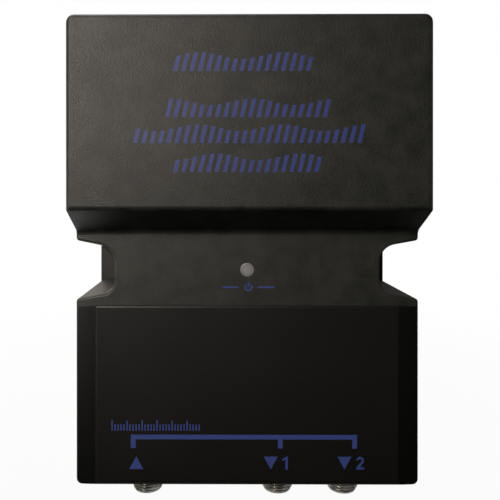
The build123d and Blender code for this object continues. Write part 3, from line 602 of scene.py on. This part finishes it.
# Light goes a short way into milky acrylic, so the button looks soft and evenly grey.
material, tree, place = new_material("acrylic_milky")
cloud = add(tree, "TexNoise", {"Scale": 1000 / lens_cloud_mm, "Detail": 3.0, "Vector": place})
tone = add(tree, "Mix RGBA", {0: cloud, 6: "#7f8182", 7: "#939596"})
surface(tree, {"IOR": 1.49, "Roughness": 0.32, "Subsurface Weight": 0.3,
               "Subsurface Scale": 0.0008, "Base Color": tone}, cloud, strength=0.2, depth_mm=0.03)


def smoothed(mesh, angle=crease):
    """Smooth shading, with creases kept sharp."""
    mesh.shade_smooth()
    mesh.set_sharp_from_angle(angle=angle)
    return mesh


def turned(profile, middle, axis, steps):
    """A ring or solid turned from a closed profile of radius and height in mm, about an axis."""
    shape = bmesh.new()
    rings = []
    for i in range(steps):
        angle = 2 * math.pi * i / steps
        ring = []
        for radius, height in profile:
            flat = Vector((radius * math.cos(angle), radius * math.sin(angle), height)) / 1000
            spot = flat if axis == "Z" else Vector((flat.x, flat.z, flat.y))
            ring.append(shape.verts.new(middle + spot))
        rings.append(ring)
    for i in range(steps):
        for j in range(len(profile)):
            shape.faces.new((rings[i][j], rings[i - 1][j], rings[i - 1][j - 1], rings[i][j - 1]))
    bmesh.ops.remove_doubles(shape, verts=shape.verts, dist=1e-7)
    bmesh.ops.dissolve_degenerate(shape, edges=shape.edges, dist=1e-8)
    loose = [edge for edge in shape.edges if not edge.link_faces]
    bmesh.ops.delete(shape, geom=loose, context="EDGES")
    bmesh.ops.recalc_face_normals(shape, faces=shape.faces)
    return smoothed(finished_mesh(shape))


profile = [(0.0, lens_face_mm)]
profile += [(r, lens_face_mm + dome_mm * (r / lens_radius_mm) ** 2) for r in dome_radii_mm]
profile += [(groove_middle_mm, lens_face_mm + 2 * dome_mm), (groove_outer_mm, lens_face_mm + dome_mm),
            (lens_radius_mm - lens_round_mm[0], lens_face_mm + dome_mm),
            (lens_radius_mm - lens_round_mm[1], lens_face_mm + 1.5 * dome_mm),
            (lens_radius_mm, lens_face_mm + 3 * dome_mm), (lens_radius_mm, lens_back_mm - flange_mm),
            (flange_radius_mm, lens_back_mm - flange_mm), (flange_radius_mm, lens_back_mm),
            (0.0, lens_back_mm)]
button = turned(profile, Vector((lens_middle.x, 0, lens_middle.z)), "Y", lens_steps)
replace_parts(keep_piece("domed_lens", button, material), "indicator_lens")


# Coaxial sockets: zinc castings, each a threaded barrel that comes down through a hole in the
# floor, with a collar in the hole and a square body behind it that sits on the board. The
# thread is cut, 32 turns to the inch, and the whole is plated with nickel.

thread_pitch_mm = 0.794
thread_crest_mm = 4.7
thread_root_mm = 4.21
thread_foot_half_mm = 0.35
thread_crest_half_mm = 0.08
thread_sunk_mm = 0.06
thread_steps = 56
thread_run_out = 0.06
mouth_bevel_mm = 0.5
collar_radius_mm = 5.4
collar_steps = 64
bore_radius_mm = 3.45
bore_bevel_mm = 0.25
lip_width_mm = 0.2
lip_height_mm = 0.3
core_radius_mm = 3.9
core_raise_mm = 0.6
slack_mm = 0.1
socket_length_mm = 24.2
body_length_mm = 11.0
floor_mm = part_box("front_cover")[0].z * 1000
stain_gloss = 0.08


def worked_metal(name, deep, pale, roughness, stain_mm, line_mm, stretch=(1.0, 1.0, 1.0)):
    """A metal between two tones, with stains, and fine tool lines drawn out by a stretch."""
    material, tree, place = new_material(name)
    stain = add(tree, "TexNoise", {"Scale": 1000 / stain_mm, "Detail": 4.0, "Vector": place})
    # Real tool lines are finer. They are drawn this coarse so that they show.
    drawn = add(tree, "VectorMath MULTIPLY", {0: place, 1: stretch})
    lines = add(tree, "TexNoise", {"Scale": 1000 / line_mm, "Detail": 2.0, "Vector": drawn})
    share = add(tree, "MapRange", {"From Min": 0.3, "From Max": 0.7, "Value": stain})
    tone = add(tree, "Mix RGBA", {0: share, 6: deep, 7: pale})
    rough = add(tree, "MapRange",
                {"From Min": 0.3, "From Max": 0.7, "To Min": roughness + stain_gloss,
                 "To Max": roughness - stain_gloss, "Value": stain})
    surface(tree, {"Metallic": 1.0, "Base Color": tone, "Roughness": rough},
            lines, strength=0.2, depth_mm=0.02)
    return material


# The ridge of the thread: a four-sided profile on a spiral, which thins out at both ends.
tree, given = node_tree("cut_thread", {
    "Turns": "Float", "Root": "Float", "Rise": "Float", "Steps": "Int", "Foot Low": "Vector",
    "Foot High": "Vector", "Crest High": "Vector", "Crest Low": "Vector", "Run Out": "Float",
    "Plating": "Material"})
spiral = add(tree, "CurveSpiral",
             {"Resolution": given["Steps"], "Rotations": given["Turns"],
              "Start Radius": given["Root"], "End Radius": given["Root"], "Height": given["Rise"]})
upright = add(tree, "SetCurveNormal Z_UP", {0: spiral})
profile = add(tree, "CurvePrimitiveQuadrilateral POINTS",
              {"Point 1": given["Foot Low"], "Point 2": given["Crest Low"],
               "Point 3": given["Crest High"], "Point 4": given["Foot High"]})
along = add(tree, "SplineParameter").outputs["Factor"]
left = add(tree, "Math SUBTRACT", {0: 1.0, 1: along})
nearer = add(tree, "Math MINIMUM", {0: along, 1: left})
size = add(tree, "MapRange", {"To Min": 0.05, "Value": nearer, "From Max": given["Run Out"]})
ridge = add(tree, "CurveToMesh",
            {"Fill Caps": True, "Curve": upright, "Profile Curve": profile, "Scale": size})
end_tree(tree, ridge, given["Plating"])

# Nickel plate over a casting: warm grey, smooth enough for bright glints, with darker stains.
plating = worked_metal("nickel_plated_zinc", "#85837e", "#dddbd6",
                       roughness=0.18, stain_mm=2.4, line_mm=0.12)


def merged(meshes):
    """Several closed meshes in one, each kept as it is."""
    shape = bmesh.new()
    for mesh in meshes:
        shape.from_mesh(mesh)
        bpy.data.meshes.remove(mesh)
    return smoothed(finished_mesh(shape))


def socket_core(name, middle, mouth_mm, body_foot_mm):
    """The casting without its barrel's skin, which is shrunk to sit inside the turned one."""
    shape = joined_copy(name)
    for v in shape.verts:
        out = Vector((v.co.x - middle.x, v.co.y - middle.y, 0.0))
        if 1000 * v.co.z < body_foot_mm - slack_mm and 1000 * out.length > bore_radius_mm + 2 * slack_mm:
            v.co.xy = (middle + out.normalized() * core_radius_mm / 1000).xy
        if 1000 * v.co.z < mouth_mm + slack_mm:
            v.co.z += core_raise_mm / 1000
    return finished_mesh(shape)


def socket_thread(tree, middle, mouth_mm):
    """The ridge of one barrel. The spiral's sideways axis points in, so the crest is negative."""
    rise_mm = floor_mm - mouth_mm - mouth_bevel_mm
    foot, crest = thread_foot_half_mm / 1000, thread_crest_half_mm / 1000
    root_x, crest_x = thread_sunk_mm / 1000, (thread_root_mm - thread_crest_mm) / 1000
    thread = grown(tree, {
        "Turns": rise_mm / thread_pitch_mm, "Root": thread_root_mm / 1000, "Rise": rise_mm / 1000,
        "Steps": thread_steps, "Foot Low": (root_x, -foot, 0.0), "Foot High": (root_x, foot, 0.0),
        "Crest High": (crest_x, crest, 0.0), "Crest Low": (crest_x, -crest, 0.0),
        "Run Out": thread_run_out, "Plating": plating})
    thread.transform(Matrix.Translation((middle.x, middle.y, (mouth_mm + mouth_bevel_mm) / 1000)))
    shape = bmesh.new()
    shape.from_mesh(thread)
    bmesh.ops.recalc_face_normals(shape, faces=shape.faces)
    return finished_mesh(shape)


for name in ("input_socket", "output_socket_1", "output_socket_2"):
    low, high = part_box(name)
    middle = (low + high) / 2
    mouth_mm = 1000 * low.z
    body_foot_mm = mouth_mm + socket_length_mm - body_length_mm
    profile = [(bore_radius_mm, mouth_mm + bore_bevel_mm), (bore_radius_mm + bore_bevel_mm, mouth_mm),
               (thread_root_mm - lip_width_mm, mouth_mm), (thread_root_mm, mouth_mm + lip_height_mm),
               (thread_root_mm, floor_mm), (collar_radius_mm, floor_mm),
               (collar_radius_mm, body_foot_mm), (bore_radius_mm, body_foot_mm)]
    barrel = turned(profile, Vector((middle.x, middle.y, 0)), "Z", collar_steps)
    core = socket_core(name, middle, mouth_mm, body_foot_mm)
    whole = merged([core, barrel, socket_thread(tree, middle, mouth_mm)])
    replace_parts(keep_piece("threaded_" + name, whole, plating), name)


# Socket insulators: white polythene plugs pressed into the bores, each with a small hole for
# the bare wire of a plug. They are injection moulded and left as they come.

cloud_gloss = 0.08


def moulded_plastic(name, deep, pale, roughness, grain_mm, ior):
    """A plastic between two close tones, with slow clouds and an even moulded grain."""
    material, tree, place = new_material(name)
    cloud = add(tree, "TexNoise", {"Scale": 1000 / (12 * grain_mm), "Detail": 3.0, "Vector": place})
    # Real moulds leave a finer grain. It is drawn this coarse so that it shows.
    grain = add(tree, "TexNoise", {"Scale": 1000 / grain_mm, "Detail": 2.0, "Vector": place})
    tone = add(tree, "Mix RGBA", {0: cloud, 6: deep, 7: pale})
    rough = add(tree, "MapRange",
                {"To Min": roughness - cloud_gloss, "To Max": roughness + cloud_gloss, "Value": cloud})
    surface(tree, {"IOR": ior, "Base Color": tone, "Roughness": rough},
            grain, strength=0.3, depth_mm=0.02)
    return material


# Natural polythene: a warm white with a waxy, half-dull skin.
polythene = moulded_plastic("polythene_natural", "#c9c5b8", "#e2dfd4",
                            roughness=0.42, grain_mm=0.4, ior=1.51)
finish(polythene, "socket_insulators")


# Socket contacts and fuse clips: strip of sprung bronze, rolled and bent. It has a warm brown
# tone, with rolling lines along its length.

bronze = worked_metal("phosphor_bronze_rolled", "#8f6a3a", "#c79b5c", roughness=0.3, stain_mm=1.8,
                      line_mm=0.15, stretch=(1.0, 0.15, 1.0))
finish(bronze, "socket_contacts", "fuse_clips")


# Indicator lamp: green epoxy cast round its leads, with diffusing powder in it that makes it
# milky. It stands on a black nylon spacer, which holds it close behind the lens.

powder_mm = 0.35

material, tree, place = new_material("epoxy_diffused_green")
powder = add(tree, "TexNoise", {"Scale": 1000 / powder_mm, "Detail": 3.0, "Vector": place})
tone = add(tree, "Mix RGBA", {0: powder, 6: "#5f9c62", 7: "#a4cf9f"})
surface(tree, {"IOR": 1.55, "Roughness": 0.18, "Subsurface Weight": 0.4,
               "Subsurface Scale": 0.001, "Base Color": tone}, powder, strength=0.1, depth_mm=0.02)
finish(material, "indicator_lamp")
nylon = moulded_plastic("nylon_black", "#171717", "#262625", roughness=0.45, grain_mm=0.35, ior=1.53)
finish(nylon, "lamp_spacer")


# Mains pins: live and neutral are blades of drawn brass, pressed into the rear cover while it
# was moulded, with a black vinyl sleeve shrunk on each root. The earth pin is a dummy one in
# hard black nylon. Drawing leaves fine lines along the blades.

brass = worked_metal("brass_drawn", "#a8884a", "#dcc083", roughness=0.27, stain_mm=3.0, line_mm=0.1,
                     stretch=(1.0, 0.08, 1.0))
finish(brass, "live_pin", "neutral_pin")
vinyl = moulded_plastic("vinyl_sleeve_black", "#0f0f0f", "#1c1c1b",
                        roughness=0.38, grain_mm=0.3, ior=1.54)
finish(vinyl, "live_sleeve", "neutral_sleeve")
hard_nylon = moulded_plastic("nylon_glass_filled_black", "#101010", "#232322", roughness=0.5,
                             grain_mm=0.25, ior=1.55)
finish(hard_nylon, "earth_pin")


# Screws: four long ones close the case from the back, and eight short ones hold the boards.
# They are rolled steel with zinc plate, which is pale, faintly blue and a little cloudy.

zinc_plate = worked_metal("steel_zinc_plated", "#8b8f93", "#c9ccce", roughness=0.32, stain_mm=1.2,
                          line_mm=0.1, stretch=(1.0, 0.3, 1.0))
finish(zinc_plate, "cover_screws", "board_screws")


# Circuit boards: woven glass and resin, copper clad, etched and coated with green mask. The
# weave shows through the mask, tracks stand a little paler, and the sawn edges are straw.

weave_mm = 0.9
track_pitch_mm = 2.54
track_share = 0.3
track_gap_share = 0.55

material, tree, place = new_material("glass_laminate_green_mask")
x, y, z = millimetres(tree, place)
over = add(tree, "Math PINGPONG", {0: x, 1: weave_mm / 2})
under = add(tree, "Math PINGPONG", {0: z, 1: weave_mm / 2})
cross = add(tree, "Math ADD", {0: over, 1: under})
weave = add(tree, "MapRange", {"From Max": weave_mm, "Value": cross})
mask = add(tree, "Mix RGBA", {0: weave, 6: "#123f22", 7: "#1d5a33"})
# Tracks run up the board on a tenth of an inch, and stop and start by blocks of four tenths.
column = add(tree, "Math PINGPONG", {0: x, 1: track_pitch_mm / 2})
on_track = add(tree, "Math LESS_THAN", {0: column, 1: track_share})
block_size = (track_pitch_mm / 1000, 1.0, 4 * track_pitch_mm / 1000)
block = add(tree, "VectorMath SNAP", {0: place, 1: block_size})
chance = add(tree, "TexWhiteNoise", {"Vector": block})
kept = add(tree, "Math GREATER_THAN", {0: chance, 1: track_gap_share})
track = add(tree, "Math MULTIPLY", {0: on_track, 1: kept})
lit = add(tree, "Mix RGBA", {0: track, 6: mask, 7: "#3a8250"})
normal = add(tree, "NewGeometry").outputs["Normal"]
facing = add(tree, "SeparateXYZ", {0: normal}).outputs["Y"]
flat = add(tree, "Math ABSOLUTE", {0: facing})
edge = add(tree, "Math LESS_THAN", {0: flat, 1: 0.5})
tone = add(tree, "Mix RGBA", {0: edge, 6: lit, 7: "#b5a468"})
rough = add(tree, "MapRange", {"To Min": 0.3, "To Max": 0.75, "Value": edge})
surface(tree, {"IOR": 1.52, "Base Color": tone, "Roughness": rough}, weave, strength=0.15, depth_mm=0.03)
finish(material, "amplifier_board", "supply_board")


# Screening can and lid: tinned steel sheet, cut, folded and snapped together over the amplifier.
# The tin has frozen in crystals a few millimetres wide, each with its own faint sheen.

crystal_mm = 3.2
scratch_mm = 0.3

material, tree, place = new_material("tinplate_spangled")
crystal = add(tree, "TexVoronoi", {"Scale": 1000 / crystal_mm, "Vector": place}).outputs["Color"]
shade = add(tree, "SeparateColor", {0: crystal})
scratch = add(tree, "TexNoise", {"Scale": 1000 / scratch_mm, "Detail": 3.0, "Vector": place})
tone = add(tree, "Mix RGBA", {0: shade, 6: "#a3a4a2", 7: "#c8c9c6"})
rough = add(tree, "MapRange", {"To Min": 0.28, "To Max": 0.44, "Value": shade})
surface(tree, {"Metallic": 1.0, "Base Color": tone, "Roughness": rough},
        scratch, strength=0.1, depth_mm=0.02)
finish(material, "screening_can", "screening_lid")


# Amplifier chip, bridge rectifier and voltage regulator: dies sealed in black epoxy compound.
# The mineral filler makes it dull and a little cloudy, and the moulds leave a very fine grain.

compound = moulded_plastic("epoxy_compound_black", "#191919", "#2a2a29",
                           roughness=0.55, grain_mm=0.18, ior=1.57)
finish(compound, "amplifier_chip", "bridge_rectifier", "voltage_regulator")


# Splitter core: sintered ferrite with two holes, nearly black, with the sparkle of fine grains
# where the press left its skin.

grit_mm = 0.14

material, tree, place = new_material("ferrite_sintered")
grit = add(tree, "TexVoronoi", {"Scale": 1000 / grit_mm, "Vector": place}).outputs["Color"]
share = add(tree, "SeparateColor", {0: grit})
tone = add(tree, "Mix RGBA", {0: share, 6: "#26272a", 7: "#3d3f43"})
rough = add(tree, "MapRange", {"To Min": 0.35, "To Max": 0.7, "Value": share})
surface(tree, {"IOR": 2.3, "Base Color": tone, "Roughness": rough}, share, strength=0.25, depth_mm=0.02)
finish(material, "splitter_core")


# Choke coils: four air coils of enamelled copper wire, wound on a rod, pulled off and stood on
# the board. The enamel is clear, so the copper shows warm and glossy.

coil_wire_mm = 0.5
coil_pitch_mm = 0.56
coil_steps = 32
coil_shares = (1.0, 0.25)

copper = worked_metal("copper_enamelled", "#9c5a30", "#cf8650",
                      roughness=0.24, stain_mm=0.9, line_mm=0.08)

tree, given = node_tree("wound_coils", {
    "Turns": "Float", "Radius": "Float", "Rise": "Float", "Steps": "Int", "Wire": "Float",
    "Copper": "Material"})
spiral = add(tree, "CurveSpiral",
             {"Resolution": given["Steps"], "Rotations": given["Turns"],
              "Start Radius": given["Radius"], "End Radius": given["Radius"],
              "Height": given["Rise"]})
wire = add(tree, "CurvePrimitiveCircle", {"Resolution": 8, "Radius": given["Wire"]})
coil = add(tree, "CurveToMesh", {"Fill Caps": True, "Curve": spiral, "Profile Curve": wire})
# The spiral climbs Z, and a coil stands out from the board towards the front.
lying = add(tree, "Transform", {0: coil, "Rotation": (math.pi / 2, 0.0, 0.0)})
coils = add(tree, "InstanceOnPoints", {0: given["Mesh"], "Instance": lying})
end_tree(tree, coils, given["Copper"])

low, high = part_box("choke_coils")
coil_reach = (high.z - low.z) / 2
wire_half = coil_wire_mm / 2000
coil_rise = high.y - low.y - 2 * wire_half
half_span = (high.x - low.x) / 2 - coil_reach
places = [(side * share * half_span, high.y - wire_half, low.z + coil_reach)
          for share in coil_shares for side in (-1, 1)]
seed = bpy.data.meshes.new("coil_places")
seed.from_pydata(places, [], [])
mesh = grown(tree, {
    "Turns": 1000 * coil_rise / coil_pitch_mm, "Radius": coil_reach - wire_half, "Rise": coil_rise,
    "Steps": coil_steps, "Wire": wire_half, "Copper": copper}, seed)
mesh.shade_smooth()
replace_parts(keep_piece("wound_choke_coils", mesh, copper), "choke_coils")


# Transformer: a stack of thin silicon steel plates with a lacquered edge, round a bobbin of
# natural nylon with the copper winding between its flanges. The plates show as fine bands.

plate_mm = 0.5
plate_stain_mm = 4.0
winding_wire_mm = 0.78
winding_corner_mm = 3.0

material, tree, place = new_material("silicon_steel_stack")
x, y, z = millimetres(tree, place)
stack = add(tree, "Math PINGPONG", {0: y, 1: plate_mm / 2})
gap = add(tree, "MapRange", {"From Min": 0.03, "From Max": 0.08, "Value": stack})
stain = add(tree, "TexNoise", {"Scale": 1000 / plate_stain_mm, "Detail": 4.0, "Vector": place})
plate = add(tree, "Mix RGBA", {0: stain, 6: "#4b4a4c", 7: "#77767a"})
tone = add(tree, "Mix RGBA", {0: gap, 6: "#1e1c1b", 7: plate})
rough = add(tree, "MapRange", {"To Min": 0.6, "To Max": 0.36, "Value": gap})
surface(tree, {"Metallic": 1.0, "Base Color": tone, "Roughness": rough},
        gap, strength=0.4, depth_mm=0.05)
finish(material, "transformer_core")
bobbin_nylon = moulded_plastic("nylon_natural", "#b9b29c", "#d6d0bd",
                               roughness=0.4, grain_mm=0.35, ior=1.53)
finish(bobbin_nylon, "transformer_bobbin")

tree, given = node_tree("wound_layer", {
    "Width": "Float", "Depth": "Float", "Corner": "Float", "Wire": "Float", "Turns": "Int",
    "Start": "Vector", "Pitch": "Float", "Copper": "Material"})
loop = add(tree, "CurvePrimitiveQuadrilateral RECTANGLE",
           {"Width": given["Width"], "Height": given["Depth"]})
bent = add(tree, "FilletCurve POLY", {0: loop, "Count": 8, "Radius": given["Corner"]})
wire = add(tree, "CurvePrimitiveCircle", {"Resolution": 8, "Radius": given["Wire"]})
turn = add(tree, "CurveToMesh", {"Curve": bent, "Profile Curve": wire})
step = add(tree, "CombineXYZ", {"Z": given["Pitch"]})
line = add(tree, "MeshLine",
           {"Count": given["Turns"], "Start Location": given["Start"], "Offset": step})
turns = add(tree, "InstanceOnPoints", {0: line, "Instance": turn})
end_tree(tree, turns, given["Copper"])

low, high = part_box("transformer_windings")
middle = (low + high) / 2
size = high - low
wire = winding_wire_mm / 1000
turns = round(size.z / wire)
layer = grown(tree, {
    "Width": size.x - wire, "Depth": size.y - wire, "Corner": winding_corner_mm / 1000,
    "Wire": wire / 2, "Turns": turns, "Start": (middle.x, middle.y, low.z + size.z / turns / 2),
    "Pitch": size.z / turns, "Copper": copper})
# The layers below the outer one are never seen apart, so they stay one block, a wire smaller.
block = joined_copy("transformer_windings")
shrink = Matrix.Diagonal((1 - wire / size.x, 1 - wire / size.y, 1.0, 1.0))
block.transform(Matrix.Translation(middle) @ shrink @ Matrix.Translation(-middle))
whole = merged([finished_mesh(block), layer])
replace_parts(keep_piece("wound_transformer", whole, copper), "transformer_windings")


# Reservoir capacitor: an aluminium can in a dark blue printed vinyl sleeve, which is shrunk
# over the edge and leaves the middle of the top bare. A pale band runs down the negative side.

can_low, can_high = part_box("reservoir_capacitor")
can_middle_mm = 500 * (can_low + can_high)
can_rim_mm = 0.25
can_bare_mm = 4.9
can_band_half_mm = 1.6
can_patch_mm = 1.5

material, tree, place = new_material("vinyl_sleeved_aluminium")
x, y, z = millimetres(tree, place)
patch = add(tree, "TexNoise", {"Scale": 1000 / can_patch_mm, "Detail": 3.0, "Vector": place})
around_x = add(tree, "Math SUBTRACT", {0: x, 1: can_middle_mm.x})
around_z = add(tree, "Math SUBTRACT", {0: z, 1: can_middle_mm.z})
flat_z = add(tree, "Math ABSOLUTE", {0: around_z})
in_band = add(tree, "Math LESS_THAN", {0: flat_z, 1: can_band_half_mm})
on_side = add(tree, "Math LESS_THAN", {0: around_x, 1: 0.0})
stripe = add(tree, "Math MULTIPLY", {0: in_band, 1: on_side})
spot = add(tree, "CombineXYZ", {"X": around_x, "Y": around_z})
radius = add(tree, "VectorMath LENGTH", {0: spot})
inner = add(tree, "Math LESS_THAN", {0: radius, 1: can_bare_mm})
at_top = add(tree, "Math LESS_THAN", {0: y, 1: 1000 * can_low.y + can_rim_mm})
bare = add(tree, "Math MULTIPLY", {0: inner, 1: at_top})
sleeve = add(tree, "Mix RGBA", {0: patch, 6: "#1c2547", 7: "#2a345c"})
banded = add(tree, "Mix RGBA", {0: stripe, 6: sleeve, 7: "#a9aeb4"})
tone = add(tree, "Mix RGBA", {0: bare, 6: banded, 7: "#c4c5c6"})
rough = add(tree, "MapRange", {"To Min": 0.26, "To Max": 0.4, "Value": patch})
surface(tree, {"IOR": 1.54, "Base Color": tone, "Roughness": rough, "Metallic": bare},
        patch, strength=0.1, depth_mm=0.03)
finish(material, "reservoir_capacitor")


# Heat sink: a strip of plain rolled aluminium, which stands by the regulator and takes up its
# heat. The rolls leave fine lines in it, and its skin stays bare and a little dull.

aluminium = worked_metal("aluminium_rolled", "#9b9c9e", "#c6c7c9", roughness=0.34, stain_mm=3.0,
                         line_mm=0.14, stretch=(1.0, 0.1, 1.0))
finish(aluminium, "heat_sink")


# Mains fuse: one cylinder, which is clear glass between a nickelled cap at each end. The glass
# is drawn, so it is smooth, and it has a faint green tone. The wire in it is left out.

fuse_low, fuse_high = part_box("mains_fuse")
cap_mm = 3.2
cap_edge_mm = 0.05
cap_stain_mm = 0.8

material, tree, place = new_material("fuse_glass_and_caps")
x, y, z = millimetres(tree, place)
stain = add(tree, "TexNoise", {"Scale": 1000 / cap_stain_mm, "Detail": 3.0, "Vector": place})
glassy = band(tree, x, 1000 * fuse_low.x + cap_mm, 1000 * fuse_high.x - cap_mm, cap_edge_mm)
cap_tone = add(tree, "Mix RGBA", {0: stain, 6: "#9d9789", 7: "#c7c1b3"})
tone = add(tree, "Mix RGBA", {0: glassy, 6: cap_tone, 7: "#e6f0ea"})
metal = add(tree, "Math SUBTRACT", {0: 1.0, 1: glassy})
rough = add(tree, "MapRange", {"To Min": 0.28, "To Max": 0.04, "Value": glassy})
surface(tree, {"IOR": 1.5, "Base Color": tone, "Roughness": rough,
               "Metallic": metal, "Transmission Weight": glassy}, stain, strength=0.08, depth_mm=0.02)
finish(material, "mains_fuse")


# Supply wires: a flat ribbon of two stranded cores in red vinyl, soldered to both boards. The
# sheath was drawn round both cores at once, so a thin web joins two round sides.

wires_low, wires_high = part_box("supply_wires")
core_mm = 0.65
web_mm = 0.22
web_edge_mm = 0.1
vinyl_cloud_mm = 1.4
ribbon_bend_mm = 2.0
ribbon_half_mm = 500 * (wires_high.x - wires_low.x)
upper_end_mm = -12.6
ribbon_crease = math.radians(50)

# Vinyl has a soft gloss, and its red is a little cloudy. The web is painted darker, as painted shade where
# it lies deeper.
material, tree, place = new_material("vinyl_ribbon_red")
x, y, z = millimetres(tree, place)
cloud = add(tree, "TexNoise", {"Scale": 1000 / vinyl_cloud_mm, "Detail": 2.0, "Vector": place})
shaded_web = band(tree, x, 2 * core_mm - ribbon_half_mm, ribbon_half_mm - 2 * core_mm, web_edge_mm)
skin = add(tree, "Mix RGBA", {0: cloud, 6: "#8a1a14", 7: "#a8251c"})
tone = add(tree, "Mix RGBA", {0: shaded_web, 6: skin, 7: "#5d120d"})
surface(tree, {"IOR": 1.53, "Roughness": 0.36, "Base Color": tone}, cloud, strength=0.15, depth_mm=0.03)

# A round section is drawn out into two cores with a web, and follows the route's runs.
tree, given = node_tree("two_core_ribbon", {
    "Half Width": "Float", "Core": "Float", "Web": "Float", "Bend": "Float", "Sheath": "Material"})
route = add(tree, "MeshToCurve", {0: given["Mesh"]})
bent = add(tree, "FilletCurve POLY", {"Count": 10, "Curve": route, "Radius": given["Bend"]})
flat = add(tree, "SetCurveNormal FREE", {0: bent, "Normal": (1.0, 0.0, 0.0)})
circle = add(tree, "CurvePrimitiveCircle", {"Resolution": 48, "Radius": given["Half Width"]})
spot = add(tree, "SeparateXYZ", {0: add(tree, "InputPosition")}).outputs
# Height of the section: an arch over each core's middle, and the web between them.
aside = add(tree, "Math ABSOLUTE", {0: spot["X"]})
centre = add(tree, "Math SUBTRACT", {0: given["Half Width"], 1: given["Core"]})
off = add(tree, "Math SUBTRACT", {0: aside, 1: centre})
off_square = add(tree, "Math MULTIPLY", {0: off, 1: off})
core_square = add(tree, "Math MULTIPLY", {0: given["Core"], 1: given["Core"]})
left_over = add(tree, "Math SUBTRACT", {0: core_square, 1: off_square})
above_zero = add(tree, "Math MAXIMUM", {0: left_over, 1: 0.0})
arch = add(tree, "Math SQRT", {0: above_zero})
inside = add(tree, "Math LESS_THAN", {0: aside, 1: centre})
web_here = add(tree, "Math MULTIPLY", {0: inside, 1: given["Web"]})
height = add(tree, "Math MAXIMUM", {0: arch, 1: web_here})
side = add(tree, "Math SIGN", {0: spot["Y"]})
signed = add(tree, "Math MULTIPLY", {0: height, 1: side})
moved = add(tree, "CombineXYZ", {"X": spot["X"], "Y": signed})
section = add(tree, "SetPosition", {0: circle, "Position": moved})
swept = add(tree, "CurveToMesh", {"Fill Caps": True, "Curve": flat, "Profile Curve": section})
end_tree(tree, swept, given["Sheath"])

# The route leaves the upper board forwards, runs down in front, and goes back to the lower board.
core = core_mm / 1000
middle_x = (wires_low.x + wires_high.x) / 2
stops = ((upper_end_mm / 1000, wires_high.z - core), (wires_low.y + core, wires_high.z - core),
         (wires_low.y + core, wires_low.z + core), (wires_high.y, wires_low.z + core))
route = bpy.data.meshes.new("ribbon_route")
route.from_pydata([(middle_x, y, z) for y, z in stops], [(0, 1), (1, 2), (2, 3)], [])
ribbon = grown(tree, {
    "Half Width": ribbon_half_mm / 1000, "Core": core, "Web": web_mm / 1000,
    "Bend": ribbon_bend_mm / 1000, "Sheath": material}, route)
ribbon = keep_piece("two_core_ribbon", smoothed(ribbon, ribbon_crease), material)
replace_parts(ribbon, "supply_wires")
